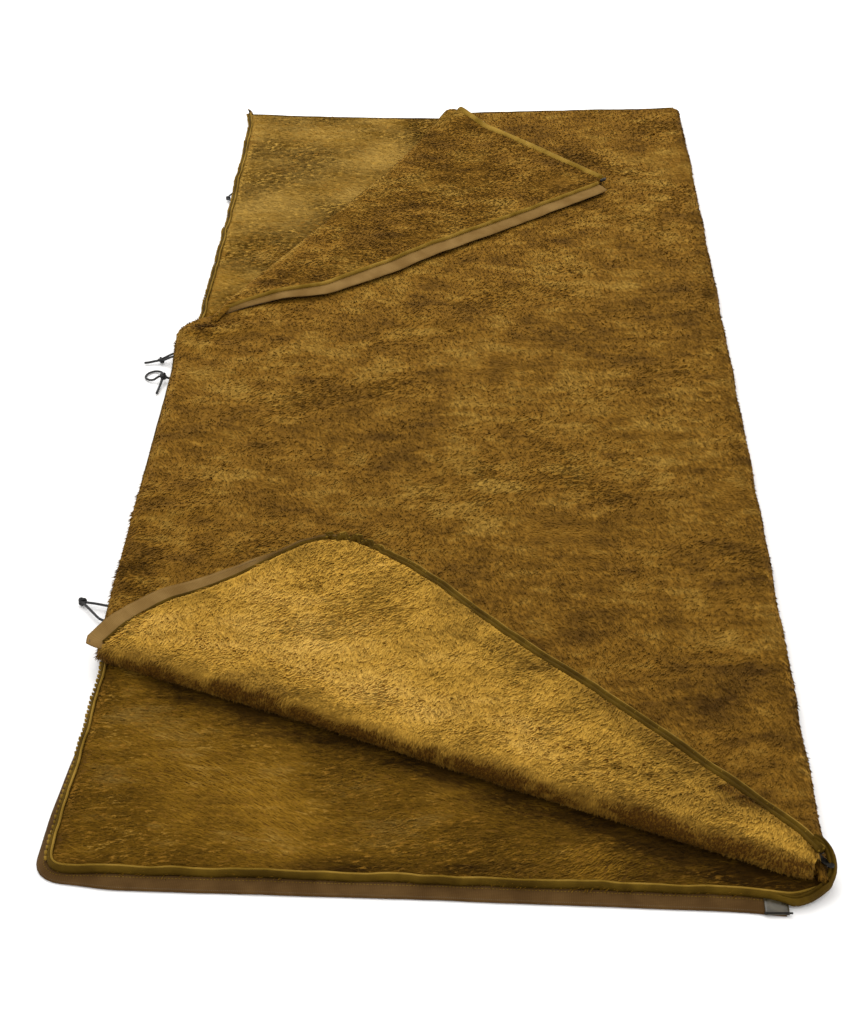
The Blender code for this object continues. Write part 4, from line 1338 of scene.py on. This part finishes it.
@dataclass
class LowerEdge:
    """What is sewn to the lower layer: binding, head hem, and its half of the zip."""

    shell: Shell
    columns: int
    zip_end_x: float = 0.334
    tape_width: float = 20 * MM
    coil_pitch: float = 1.9 * MM

    def border(self) -> tuple[Points, Points]:
        """The zip edge from the head corner down the side and along the foot, and its outwards."""
        side = self.shell.middle[::-1, 0]
        foot = self.shell.middle[0, 1:self.columns]
        line = resampled(np.concatenate([side, foot]), 1.5 * MM)
        for _ in range(10):
            line[1:-1] = (line[:-2] + 2 * line[1:-1] + line[2:]) / 4
        line = resampled(line, 4.5 * MM)
        tangent = unit(np.gradient(line[:, :2], axis=0))
        out = np.column_stack([tangent[:, 1], -tangent[:, 0], np.zeros(len(line))])
        return line, out

    def make(self, wardrobe: Wardrobe) -> list[bpy.types.Object]:
        """Build the trims and let them ride on the lower layer."""
        line, out = self.border()
        line[:, 2] = LOWER_MID
        bend = uneven(line, out, 2.0 * MM, 1.2 * MM, 0.040, 3.0)
        made = []
        ridge = sweep("lower_binding", raised(bend, out, 1.2 * MM, 3.4 * MM), out,
                      ridge_profile(5.0 * MM, 7.6 * MM, 1), wardrobe.binding)
        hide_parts("lower_side_binding", "lower_corner_binding", "lower_foot_binding")
        sewn = (line[:, 0] < -0.345) & (line[:, 1] > -0.925)
        piping = sweep("lower_piping", raised(bend, out, -0.9 * MM, 6.6 * MM), out,
                       ridge_profile(2.6 * MM, 2.8 * MM, 1), wardrobe.thread)
        made.append((piping, Slot.BINDING))
        loops = row_of("lower_overlock", raised(bend, out, 4.6 * MM, 3.2 * MM)[sewn], wardrobe.thread, 3,
                       Pitch=7.5 * MM, Along=2.9 * MM, Across=1.9 * MM, Rise=2.6 * MM, Slant=0.35,
                       Jitter=0.25)
        made += [(ridge, Slot.BINDING), (loops, Slot.BINDING)]

        inside = line[:, 0] < self.zip_end_x
        zip_line, zip_out = uneven(line, out, 0.5 * MM, 0.4 * MM, 0.05, 9.0)[inside], out[inside]
        showing = np.interp(zip_line[:, 1], [-0.93, -0.88, -0.80, -0.72, -0.64, -0.55],
                            [0.62, 0.58, 0.48, 0.25, -0.1, -0.55])
        round_corner = ease(zip_line[:, 0], -0.374, -0.300) * ease(-zip_line[:, 1], 0.90, 0.925)
        showing = showing + (1.0 - showing) * round_corner
        # The lower tape takes the darker tape copy, painted shade.
        tape = sweep("lower_tape", raised(zip_line, zip_out, 0.5 * MM, -0.6 * MM), zip_out,
                     band_profile(self.tape_width + 1 * MM, 0.9 * MM, 2.4 * MM), wardrobe.painted_shading, showing)
        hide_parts("lower_side_tape", "lower_corner_tape", "lower_foot_tape")
        edge = raised(zip_line, zip_out * showing[:, None], self.tape_width - 1.3 * MM, -2.7 * MM)
        edge[:, 2] = np.where(showing < 0.2, 1.2 * MM, edge[:, 2])
        teeth = row_of("lower_coil", edge[edge[:, 0] < self.zip_end_x - 24 * MM], wardrobe.coil, 5,
                       Pitch=self.coil_pitch, Along=0.55 * MM, Across=1.5 * MM, Rise=0.9 * MM, Jitter=0.03)
        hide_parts("lower_side_coil", "lower_foot_coil")
        sewing = raised(zip_line, zip_out * np.sign(showing)[:, None], 6.2 * MM, -0.25 * MM)
        seam = row_of("lower_tape_stitches", sewing[showing > 0.6], wardrobe.thread, 7, Pitch=3.4 * MM,
                      Along=1.2 * MM, Across=0.32 * MM, Rise=0.3 * MM)
        made += [(tape, Slot.TAPE), (teeth, Slot.COIL), (seam, Slot.TAPE)]
        made += self.zip_end(wardrobe, zip_line[-1], zip_out[-1]) + [self.hem(wardrobe)]
        pieces = []
        for piece, slot in made:
            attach(piece, Layer.LOWER.value)
            pieces.append(piece)
        return pieces

    def zip_end(self, wardrobe: Wardrobe, end: Points, out: Points) -> list[tuple[bpy.types.Object, Slot]]:
        """The stiff film, the insertion pin, and the stop at the head end."""
        end = end + np.array([0.0, 0.0, 0.6 * MM])
        back = end - np.array([22 * MM, 0.0, 0.0])
        middle = resampled(np.array([back, end + [0.6 * MM, 0.0, 0.0]]), 2 * MM)
        outs = np.tile(out, (len(middle), 1))
        film = sweep("end_film", middle, outs, band_profile(21 * MM, 0.5 * MM, 2.4 * MM), wardrobe.film)
        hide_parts("lower_end_film")
        angle = np.linspace(0.0, 2 * math.pi, 10, endpoint=False)
        round_bar = np.column_stack([np.cos(angle) * 1.1, np.sin(angle) * 0.9]) * MM
        pin_line = raised(middle, outs, 19.6 * MM, -1.4 * MM)
        pin_line = np.vstack([pin_line, pin_line[-1] + [4 * MM, 0.0, 0.0]])
        pin = sweep("zip_pin", pin_line, np.tile(out, (len(pin_line), 1)), round_bar, wardrobe.metal)
        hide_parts("insertion_pin")
        top = self.shell.middle[-1, 0] + np.array([-1.5 * MM, 2 * MM, 4 * MM])
        curl = np.array([[0.0, 0.0, 0.0], [-1.0, 4.0, 1.5], [-2.6, 8.0, 3.2], [-4.2, 11.5, 4.2]])
        tab_line = top + curl * MM
        tab = sweep("head_tape_end", tab_line, np.tile([1.0, 0.25, 0.0], (4, 1)),
                    band_profile(6.5 * MM, 1.3 * MM, 1.0 * MM, 5), wardrobe.tape,
                    np.array([1.0, 0.9, 0.7, 0.4]))
        stop_line = resampled(tab_line[1:3] + np.array([1.5, -1.0, 0.9]) * MM, 1.2 * MM)
        stop = sweep("head_top_stop", stop_line, np.tile([1.0, 0.2, 0.0], (len(stop_line), 1)),
                     round_bar * 1.5, wardrobe.metal)
        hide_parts("lower_top_stop")
        return [(film, Slot.FILM), (pin, Slot.METAL), (tab, Slot.TAPE), (stop, Slot.METAL)]

    def hem(self, wardrobe: Wardrobe) -> tuple[bpy.types.Object, Slot]:
        """The narrow turned hem along the lower layer's head edge."""
        line = resampled(self.shell.middle[-1, :self.columns], 8 * MM)
        line[:, 2] = LOWER_MID
        out = np.tile([0.0, 1.0, 0.0], (len(line), 1))
        line = uneven(line, out, 0.8 * MM, 0.5 * MM, 0.04, 15.0)
        piece = sweep("lower_head_hem_roll", raised(line, out, 0.6 * MM, 1.2 * MM), out,
                      ridge_profile(5.5 * MM, 7.0 * MM, 1), wardrobe.binding)
        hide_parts("lower_head_hem")
        return piece, Slot.BINDING


@dataclass
class UpperEdge:
    """What is sewn to the part of the upper layer that lies down."""

    shell: Shell
    start: int

    def make(self, wardrobe: Wardrobe) -> list[bpy.types.Object]:
        """Build the side binding, the hanging tape with its coil, and the head hem."""
        border = self.shell.middle[:, -1]
        run = resampled(border[(border[:, 1] > -0.612) & (border[:, 1] < 0.105)], 5 * MM)
        out = np.tile([-1.0, 0.0, 0.0], (len(run), 1))
        run[:, 2] = 12.6 * MM
        run = uneven(run, out, 0.5 * MM, 0.3 * MM, 0.05, 21.0)
        binding = sweep("upper_binding", raised(run, out, 0.2 * MM, 0.6 * MM), out,
                        ridge_profile(4.6 * MM, 5.0 * MM, 1), wardrobe.binding)
        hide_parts("upper_side_binding")
        tape = sweep("upper_tape", raised(run, out, 1.2 * MM, 0.4 * MM), out,
                     band_profile(11.5 * MM, 0.8 * MM, 0.6 * MM), wardrobe.tape, tilt=-1.45)
        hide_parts("upper_side_tape")
        teeth = row_of("upper_coil", raised(run, out, 3.0 * MM, -9.4 * MM), wardrobe.coil, 5,
                       Pitch=1.9 * MM, Along=0.55 * MM, Across=0.9 * MM, Rise=1.4 * MM, Jitter=0.03)
        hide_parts("upper_side_coil")
        head = resampled(self.shell.middle[-1, self.start:], 8 * MM)
        up = np.tile([0.0, 1.0, 0.0], (len(head), 1))
        head = uneven(head, up, 0.8 * MM, 0.6 * MM, 0.04, 25.0)
        hem = sweep("upper_head_hem_roll", raised(head, up, 0.8 * MM, 0.4 * MM), up,
                    ridge_profile(5.5 * MM, 7.0 * MM, 1), wardrobe.binding)
        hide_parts("upper_head_hem")
        pieces = []
        for piece, slot in ((binding, Slot.BINDING), (tape, Slot.TAPE), (teeth, Slot.COIL),
                            (hem, Slot.BINDING)):
            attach(piece, Layer.UPPER.value)
            pieces.append(piece)
        return pieces


@dataclass
class HeadEdge:
    """What is sewn to the head-left corner: zip edge with its tape, hem, stop."""

    corner: TurnedCorner
    tape_width: float = 21 * MM

    def make(self, wardrobe: Wardrobe) -> list[bpy.types.Object]:
        """Build the trims and let them ride on the head corner."""
        zip_line = self.corner.rim(0.062, 0.694)
        out = self.corner.outwards(zip_line)
        zip_line = uneven(zip_line, out, 0.9 * MM, 0.6 * MM, 0.05, 31.0)
        start = np.interp(np.linspace(0.0, 1.0, len(zip_line)), [0.0, 0.06, 0.16], [0.3, 0.5, 1.0])
        ridge = sweep("head_corner_binding", raised(zip_line, out, 1.4 * MM, 1.6 * MM), out,
                      ridge_profile(5.0 * MM, 6.0 * MM, 1), wardrobe.thread, start)
        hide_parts("head_flap_binding")
        share = np.linspace(0.0, 1.0, len(zip_line))
        width = np.interp(share, [0.0, 0.05, 0.12, 0.22, 0.35, 0.8, 1.0],
                          [0.08, 0.2, 0.5, 0.9, 1.12, 1.0, 0.9])
        width = width + 0.05 * cloud(zip_line, 0.09, 35.0, 2)
        tape_line = raised(zip_line, out, 2.6 * MM, -0.6 * MM)
        tape = sweep("head_corner_tape", tape_line, out, band_profile(self.tape_width, 0.9 * MM, 4.2 * MM),
                     wardrobe.tape, width)
        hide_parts("head_flap_tape")
        teeth_line = raised(tape_line, out * width[:, None], self.tape_width - 2.0 * MM, -4.9 * MM)
        teeth = row_of("head_corner_coil", teeth_line[4:-2], wardrobe.coil, 5, Pitch=1.9 * MM,
                       Along=0.55 * MM, Across=1.5 * MM, Rise=0.9 * MM, Jitter=0.03)
        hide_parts("head_flap_coil")
        seam = row_of("head_tape_stitches", raised(tape_line, out, 3.4 * MM, 0.45 * MM)[3:-3],
                      wardrobe.thread, 7, Pitch=3.4 * MM, Along=1.2 * MM, Across=0.32 * MM, Rise=0.3 * MM)
        hem_line = self.corner.rim(0.712, 0.869)
        hem_out = self.corner.outwards(hem_line)
        hem_line = uneven(hem_line, hem_out, 0.9 * MM, 0.6 * MM, 0.04, 37.0)
        hem = sweep("head_corner_hem", raised(hem_line, hem_out, 1.2 * MM, 2.2 * MM), hem_out,
                    ridge_profile(14.0 * MM, 10.0 * MM, 1), wardrobe.thread)
        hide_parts("head_flap_hem")
        tip = zip_line[-1] + np.array([10.0, 6.0, 2.0]) * MM
        curl = np.array([[-5.0, -1.0, 0.0], [-2.0, 1.0, 0.8], [1.5, 4.0, 0.8], [3.5, 8.0, 0.0]])
        stop_line = tip + curl * MM
        angle = np.linspace(0.0, 2 * math.pi, 10, endpoint=False)
        stop = sweep("head_corner_stop", stop_line, np.tile([0.8, -0.6, 0.0], (4, 1)),
                     np.column_stack([np.cos(angle) * 3.0, np.sin(angle) * 2.2]) * MM, wardrobe.metal,
                     np.array([0.6, 1.0, 1.0, 0.5]))
        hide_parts("head_flap_top_stop")
        pieces = []
        for piece, slot in ((ridge, Slot.BINDING), (tape, Slot.TAPE), (teeth, Slot.COIL), (seam, Slot.TAPE),
                            (hem, Slot.BINDING), (stop, Slot.METAL)):
            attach(piece, Layer.HEAD.value)
            pieces.append(piece)
        return pieces


@dataclass
class FootEdge:
    """What is sewn to the foot-left corner: side tape, gathered tip and the doubled foot band."""

    corner: TurnedCorner
    tape_width: float = 20 * MM

    def make(self, wardrobe: Wardrobe) -> list[bpy.types.Object]:
        """Build the trims and let them ride on the foot corner."""
        side = self.corner.rim(0.001, 0.140, lift=0.4 * MM)
        side_out = self.corner.outwards(side)
        side = uneven(side, side_out, 1.4 * MM, 1.0 * MM, 0.04, 41.0)
        ridge = sweep("foot_corner_side_binding", raised(side, side_out, 1.2 * MM, 1.4 * MM), side_out,
                      ridge_profile(5.4 * MM, 6.5 * MM, 1), wardrobe.binding)
        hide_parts("foot_flap_side_binding", "foot_flap_corner_binding")
        foot = self.corner.rim(0.128, 0.800, lift=0.6 * MM)
        foot_out = self.corner.outwards(foot)
        along = np.linspace(0.0, np.linalg.norm(np.diff(foot, axis=0), axis=1).sum(), len(foot))
        gather = 1.0 - ease(along, 0.02, 0.10)
        foot = uneven(foot, foot_out, 1.2 * MM, 0.8 * MM, 0.05, 43.0)
        pucker = along / (16 * MM) * 2 * math.pi
        foot += foot_out * (4.2 * MM * gather * np.sin(pucker))[:, None]
        foot[:, 2] += 3.2 * MM * gather * np.sin(pucker + 1.0)
        band = sweep("foot_corner_band", raised(foot, foot_out, 2.2 * MM, 1.8 * MM), foot_out,
                     ridge_profile(11.0 * MM, 7.0 * MM, 2), wardrobe.binding)
        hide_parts("foot_flap_foot_binding", "foot_flap_foot_tape")
        piping = sweep("foot_corner_piping", raised(foot, foot_out, 6.4 * MM, 3.4 * MM), foot_out,
                       ridge_profile(2.8 * MM, 3.0 * MM, 1), wardrobe.thread)
        loops = row_of("foot_corner_overlock", raised(foot, foot_out, 4.8 * MM, 3.6 * MM), wardrobe.thread, 3,
                       Pitch=4.2 * MM, Along=1.5 * MM, Across=1.7 * MM, Rise=1.5 * MM, Slant=0.5, Jitter=0.25)
        inner_loops = row_of("foot_corner_seam", raised(foot, foot_out, -1.0 * MM, 3.6 * MM),
                             wardrobe.thread, 4, Pitch=4.2 * MM, Along=1.5 * MM, Across=1.2 * MM,
                             Rise=1.2 * MM, Slant=-0.5, Jitter=0.25)
        under = row_of("foot_corner_foot_coil", raised(foot, foot_out, 5.5 * MM, -3.2 * MM), wardrobe.coil, 5,
                       Pitch=1.9 * MM, Along=0.55 * MM, Across=1.4 * MM, Rise=0.9 * MM, Jitter=0.03)
        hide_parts("foot_flap_foot_coil")

        lead = side[0] + np.array([[-1.0, -10.0, 0.5], [-0.3, -5.0, 0.5]]) * MM
        tape_line = np.vstack([lead, raised(side, side_out, 2.2 * MM, 0.0)])
        tape_line = resampled(tape_line, 4 * MM)
        tape_out = self.corner.outwards(tape_line)
        tape_out[:3] = unit(tape_out[:3] + np.array([-0.6, 0.5, 0.0]))
        share = np.linspace(0.0, 1.0, len(tape_line))
        width = np.interp(share, [0.0, 0.12, 0.35, 0.55, 0.68, 0.76, 1.0],
                          [0.92, 0.98, 0.86, 0.66, 0.38, 0.08, 0.05])
        tape = sweep("foot_corner_tape", tape_line, tape_out,
                     band_profile(self.tape_width, 0.9 * MM, -6.0 * MM), wardrobe.tape, width)
        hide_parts("foot_flap_side_tape", "foot_flap_corner_tape")
        teeth_line = raised(tape_line, tape_out * width[:, None], self.tape_width - 1.6 * MM, 4.4 * MM)
        teeth = row_of("foot_corner_coil", teeth_line[width > 0.35], wardrobe.coil, 5, Pitch=1.9 * MM,
                       Along=0.55 * MM, Across=1.5 * MM, Rise=0.9 * MM, Jitter=0.03)
        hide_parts("foot_flap_side_coil")
        end = foot[-3] + foot_out[-3] * 5.5 * MM + np.array([0.0, 0.0, -3.4 * MM])
        box_line = resampled(np.array([end, end + (foot[-1] - foot[-4]) * 0.6]), 1.2 * MM)
        holder = sweep("zip_retainer", box_line, np.tile(foot_out[-3], (len(box_line), 1)),
                       ridge_profile(5.0 * MM, 3.4 * MM, 1), wardrobe.metal)
        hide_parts("retainer_box")
        pieces = []
        for piece, slot in ((ridge, Slot.BINDING), (band, Slot.BINDING), (loops, Slot.BINDING),
                            (piping, Slot.BINDING), (inner_loops, Slot.BINDING), (under, Slot.COIL),
                            (tape, Slot.TAPE),
                            (teeth, Slot.COIL), (holder, Slot.METAL)):
            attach(piece, Layer.FOOT.value)
            pieces.append(piece)
        return pieces


@dataclass
class Wrap:
    """The edge binding where it goes round the folded edge at the foot-right corner."""

    route: tuple[tuple[float, float, float], ...] = (
        (0.3080, -0.9625, 0.0085), (0.3240, -0.9680, 0.0080), (0.3385, -0.9715, 0.0080),
        (0.3520, -0.9670, 0.0090), (0.3650, -0.9570, 0.0105), (0.3735, -0.9460, 0.0130),
        (0.3765, -0.9360, 0.0185), (0.3745, -0.9285, 0.0270), (0.3690, -0.9220, 0.0345),
        (0.3600, -0.9150, 0.0360))

    def make(self, wardrobe: Wardrobe) -> bpy.types.Object:
        """Build the binding round the folded edge and bake its place into its mesh."""
        path = smooth_route(np.array(self.route), 3 * MM)
        out = np.column_stack([path[:, 0] - 0.345, path[:, 1] + 0.93, np.zeros(len(path))])
        path = uneven(path, unit(out), 1.5 * MM, 0.9 * MM, 0.014, 51.0)
        share = np.linspace(0.0, 1.0, len(path))
        size = np.interp(share, [0.0, 0.22, 0.45, 0.8, 1.0], [0.45, 0.75, 1.0, 1.0, 0.7])
        piece = sweep("fold_binding", path, unit(out), ridge_profile(9.0 * MM, 8.5 * MM, 2),
                      wardrobe.binding, size)
        FoldedSheet.bend(piece)
        return piece


@dataclass
class Slider:
    """The zip slider and its pull, with eased edges, beside the end of the foot band."""

    shift: tuple[float, float, float] = (5.0 * MM, 4.0 * MM, -12.0 * MM)

    def make(self, wardrobe: Wardrobe) -> list[bpy.types.Object]:
        """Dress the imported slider, arch and pull.

        Args:
            wardrobe: the finishes.

        Returns:
            The three pieces.
        """
        made = []
        for node, layer in (("slider_body", Layer.SLIDER), ("slider_arch", Layer.SLIDER),
                            ("slider_pull", Layer.PULL)):
            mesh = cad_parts[node].data.copy()
            bm = bmesh.new()
            bm.from_mesh(mesh)
            bmesh.ops.remove_doubles(bm, verts=bm.verts, dist=1e-6)
            bmesh.ops.dissolve_limit(bm, angle_limit=0.02, verts=bm.verts, edges=bm.edges)
            bmesh.ops.recalc_face_normals(bm, faces=bm.faces)
            bmesh.ops.bevel(bm, geom=bm.edges[:], offset=0.18 * MM, segments=2, profile=0.5, affect="EDGES")
            bmesh.ops.translate(bm, verts=bm.verts, vec=self.shift)
            bm.to_mesh(mesh)
            bm.free()
            piece = linked(f"{node}_cast", mesh, wardrobe.metal, smooth=False)
            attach(piece, layer.value)
            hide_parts(node)
            made.append(piece)
        return made


# ---------------------------------------------------------------- ties


@dataclass
class Tie:
    """One elastic tie: a cord out of the seam, through a knot, and back or into a ring."""

    name: str
    layer: Layer
    route: tuple[tuple[float, float, float], ...]
    knot: tuple[float, float, float]
    knot_size: float
    far_end: str
    nodes: tuple[str, ...]
    knot_node: str
    exit: tuple[float, float, float]
    turn: float = 0.0
    tail: tuple[tuple[float, float, float], ...] = ()
    radius: float = 1.5 * MM

    def knotted(self, wardrobe: Wardrobe) -> bpy.types.Object:
        """The knot: an elastic cord tied on itself, and drawn tight."""
        count, sides = 72, 8
        t = np.linspace(0.0, 2 * math.pi, count, endpoint=False)
        ring = 0.60 + 0.30 * np.cos(3 * t)
        trefoil = np.column_stack([ring * np.cos(2 * t), ring * np.sin(2 * t), 0.42 * np.sin(3 * t)])
        core = trefoil * self.knot_size
        around = Matrix.Rotation(self.turn, 3, "Z") @ Matrix.Rotation(0.9, 3, "X")
        core = core @ np.array(around).T + np.array(self.knot)
        tangent = unit(np.roll(core, -1, 0) - np.roll(core, 1, 0))
        across = unit(np.cross(tangent, core - np.array(self.knot)))
        above = np.cross(tangent, across)
        angle = np.linspace(0.0, 2 * math.pi, sides, endpoint=False)
        points = core[:, None] + self.radius * (across[:, None] * np.cos(angle)[None, :, None]
                                                + above[:, None] * np.sin(angle)[None, :, None])
        index = np.arange(count * sides).reshape(count, sides)
        nxt, side = np.roll(index, -1, 0), np.roll(index, -1, 1)
        faces = np.stack([index, nxt, np.roll(nxt, -1, 1), side], -1).reshape(-1, 4)
        mesh = bpy.data.meshes.new(f"{self.name}_knot")
        mesh.from_pydata(points.reshape(-1, 3).tolist(), [], faces.tolist())
        bm = bmesh.new()
        bm.from_mesh(mesh)
        if self.tail:
            route = smooth_route(np.array(self.tail), 2.5 * MM)
            round_cord = np.column_stack([np.cos(angle), np.sin(angle)]) * self.radius * 1.15
            cut = sweep(f"{self.name}_tail", route, np.tile([0.0, 1.0, 0.0], (len(route), 1)), round_cord,
                        wardrobe.elastic)
            bm.from_mesh(cut.data)
            bpy.data.objects.remove(cut)
        bmesh.ops.recalc_face_normals(bm, faces=bm.faces)
        bm.to_mesh(mesh)
        bm.free()
        piece = linked(f"{self.name}_knot", mesh, wardrobe.elastic)
        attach(piece, self.layer.value)
        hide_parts(self.knot_node)
        return piece

    def make(self, wardrobe: Wardrobe) -> list[bpy.types.Object]:
        path = smooth_route(np.array(self.route), 3 * MM)
        curve = bpy.data.curves.new(self.name, "CURVE")
        curve.dimensions = "3D"
        curve.bevel_depth = self.radius
        curve.bevel_resolution = 3
        curve.use_fill_caps = True
        spline = curve.splines.new("POLY")
        spline.points.add(len(path) - 1)
        spline.points.foreach_set("co", np.column_stack([path, np.ones(len(path))]).ravel())
        spline.use_smooth = True
        cord = bpy.data.objects.new(self.name, curve)
        curve.materials.append(wardrobe.elastic)
        bpy.context.scene.collection.objects.link(cord)
        knot = self.knotted(wardrobe)
        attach(cord, self.layer.value)
        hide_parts(*self.nodes)
        return [cord, knot]


def ties() -> list[Tie]:
    """The four ties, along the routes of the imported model."""
    low, seam, hanging = 6.4 * MM, -0.3753, -0.3764
    foot = ((seam, -0.506, low), (-0.3840, -0.5058, low), (-0.3975, -0.502, low), (-0.4093, -0.4983, 0.0054),
            (-0.4160, -0.4972, 0.0050), (-0.4148, -0.4990, 0.0062), (-0.4112, -0.5018, 0.0056),
            (-0.3990, -0.5185, low), (-0.3890, -0.5310, low), (-0.3800, -0.5358, low), (seam, -0.536, low))
    ring = ((seam, 0.0230, low), (-0.3806, 0.0228, low), (-0.3860, 0.0222, low), (-0.3925, 0.0215, 0.0099),
            (-0.3992, 0.0228, 0.0084), (-0.4060, 0.0205, 0.0048), (-0.4135, 0.0235, 0.0030),
            (-0.4190, 0.0320, 0.0022), (-0.4165, 0.0425, 0.0022), (-0.4080, 0.0480, 0.0024),
            (-0.4000, 0.0445, 0.0036), (-0.3962, 0.0360, 0.0064), (-0.3935, 0.0292, 0.0086))
    upper = ((hanging, 0.0700, 0.0150), (-0.3830, 0.0700, 0.0142), (-0.3905, 0.0704, 0.0114),
             (-0.3978, 0.0710, 0.0078), (-0.4040, 0.0728, 0.0056), (-0.4036, 0.0752, 0.0060),
             (-0.3982, 0.0774, 0.0078), (-0.3912, 0.0786, 0.0110), (-0.3835, 0.0795, 0.0140),
             (hanging, 0.0800, 0.0150))
    head = ((-0.3590, 0.6280, 0.0070), (-0.3645, 0.6250, 0.0070), (-0.3685, 0.6180, 0.0062),
            (-0.3700, 0.6100, 0.0056), (-0.3680, 0.6040, 0.0060), (-0.3640, 0.6005, 0.0068),
            (-0.3580, 0.5990, 0.0070))
    return [
        Tie("foot_tie", Layer.LOWER, foot, (-0.4145, -0.4965, 0.0056), 4.4 * MM, "object",
            ("foot_tie_strand_1", "foot_tie_strand_2"), "foot_tie_knot", foot[0], 0.4),
        Tie("ring_tie", Layer.LOWER, ring, (-0.3925, 0.0215, 0.0099), 4.6 * MM, "knot",
            ("lower_tie_strand", "lower_tie_ring"), "lower_tie_knot", ring[0], 1.2,
            ((-0.3935, 0.0200, 0.0085), (-0.3950, 0.0080, 0.0052), (-0.3968, -0.0060, 0.0032),
             (-0.3975, -0.0130, 0.0028))),
        Tie("upper_tie", Layer.UPPER, upper, (-0.4030, 0.0735, 0.0058), 4.2 * MM, "object",
            ("upper_tie_strand_1", "upper_tie_strand_2"), "upper_tie_knot", upper[0], 2.0,
            ((-0.4040, 0.0735, 0.0058), (-0.4120, 0.0722, 0.0048), (-0.4200, 0.0706, 0.0038),
             (-0.4260, 0.0700, 0.0034))),
        Tie("head_tie", Layer.LOWER, head, (-0.3700, 0.6100, 0.0058), 2.8 * MM, "object",
            ("head_tie_strand_1", "head_tie_strand_2"), "head_tie_knot", (seam, 0.6350, low), 0.1),
    ]


# ---------------------------------------------------------------- studio


@dataclass(frozen=True)
class Studio:
    """A white floor, soft lights and the camera."""

    eye: tuple[float, float, float] = (0.04935, -2.35931, 1.34822)
    pitch: float = 33.1647
    yaw: float = 2.098
    roll: float = -0.882
    lens: float = 70.86

    def camera(self) -> None:
        """Set up the camera."""
        pitch, yaw, roll = (math.radians(angle) for angle in (self.pitch, self.yaw, self.roll))
        ahead = Vector((-math.sin(yaw) * math.cos(pitch), math.cos(yaw) * math.cos(pitch), -math.sin(pitch)))
        right = Vector((math.cos(yaw), math.sin(yaw), 0.0))
        above = right.cross(ahead)
        across = math.cos(roll) * right + math.sin(roll) * above
        above = -math.sin(roll) * right + math.cos(roll) * above
        data = bpy.data.cameras.new("camera")
        data.lens = self.lens
        data.clip_start, data.clip_end = 0.05, 60.0
        camera = bpy.data.objects.new("camera", data)
        bpy.context.scene.collection.objects.link(camera)
        turn = Matrix((across, above, -ahead)).transposed().to_4x4()
        camera.matrix_world = Matrix.Translation(self.eye) @ turn
        bpy.context.scene.camera = camera

    def lights(self) -> None:
        """Set up the sky and the soft lamps."""
        world = bpy.data.worlds.new("studio")
        world.use_nodes = True
        world.node_tree.nodes["Background"].inputs["Color"].default_value = (1.0, 0.985, 0.965, 1.0)
        world.node_tree.nodes["Background"].inputs["Strength"].default_value = 1.12
        bpy.context.scene.world = world
        bpy.context.scene.view_settings.view_transform = "Standard"
        for name, place, aim, size, power in (("key", (-0.7, 1.7, 3.1), (0.0, 0.0, 0.0), 2.6, 62.0),
                                              ("fill", (1.5, -2.2, 2.6), (0.0, 0.1, 0.0), 2.2, 6.0)):
            data = bpy.data.lights.new(name, "AREA")
            data.size, data.energy = size, power
            lamp = bpy.data.objects.new(name, data)
            bpy.context.scene.collection.objects.link(lamp)
            lamp.location = place
            lamp.rotation_euler = (Vector(aim) - Vector(place)).to_track_quat("-Z", "Y").to_euler()

    def floor(self) -> None:
        """Lay the floor."""
        mesh = bpy.data.meshes.new("floor")
        corners = [(-9.0, -9.0, 0.0), (9.0, -9.0, 0.0), (9.0, 9.0, 0.0), (-9.0, 9.0, 0.0)]
        mesh.from_pydata(corners, [], [(0, 1, 2, 3)])
        g = Graph("studio_white")
        g.colour(g.mix(g.speckle(3.0), (0.93, 0.93, 0.93), (0.95, 0.95, 0.95)))
        g.constants(Roughness=0.9, Specular_IOR_Level=0.1)
        mesh.materials.append(g.material)
        floor = bpy.data.objects.new("floor", mesh)
        bpy.context.scene.collection.objects.link(floor)


# ---------------------------------------------------------------- the blanket


def main() -> None:
    """Build the blanket in order: camera and ties, cloth and pile, sewn edges, zip."""
    logging.basicConfig(level=logging.INFO, format="%(name)s %(message)s")
    studio = Studio()
    studio.camera()
    wardrobe = Wardrobe()
    for tie in ties():
        tie.make(wardrobe)
    head, foot = head_corner(), foot_corner()
    sheet = FoldedSheet(head, foot)
    cloth, pile, shell = sheet.make(wardrobe)
    trims = LowerEdge(shell, sheet.lower_columns).make(wardrobe)
    trims += UpperEdge(shell, sheet.lower_columns + sheet.fold_columns).make(wardrobe)
    trims.append(Wrap().make(wardrobe))
    head_cloth, head_pile = make_corner(head, wardrobe.outer, wardrobe.outer, (13.0, 14.0, 5.0), 5.0 * MM, 61,
                                        "head_flap")
    foot_cloth, foot_pile = make_corner(foot, wardrobe.gold, wardrobe.outer, (24.0, 26.0, 8.0), 8.0 * MM, 71,
                                        "foot_flap")
    head_trims = HeadEdge(head).make(wardrobe)
    foot_trims = FootEdge(foot).make(wardrobe)
    Slider().make(wardrobe)

    studio.floor()
    studio.lights()


if __name__ == "__main__":
    main()
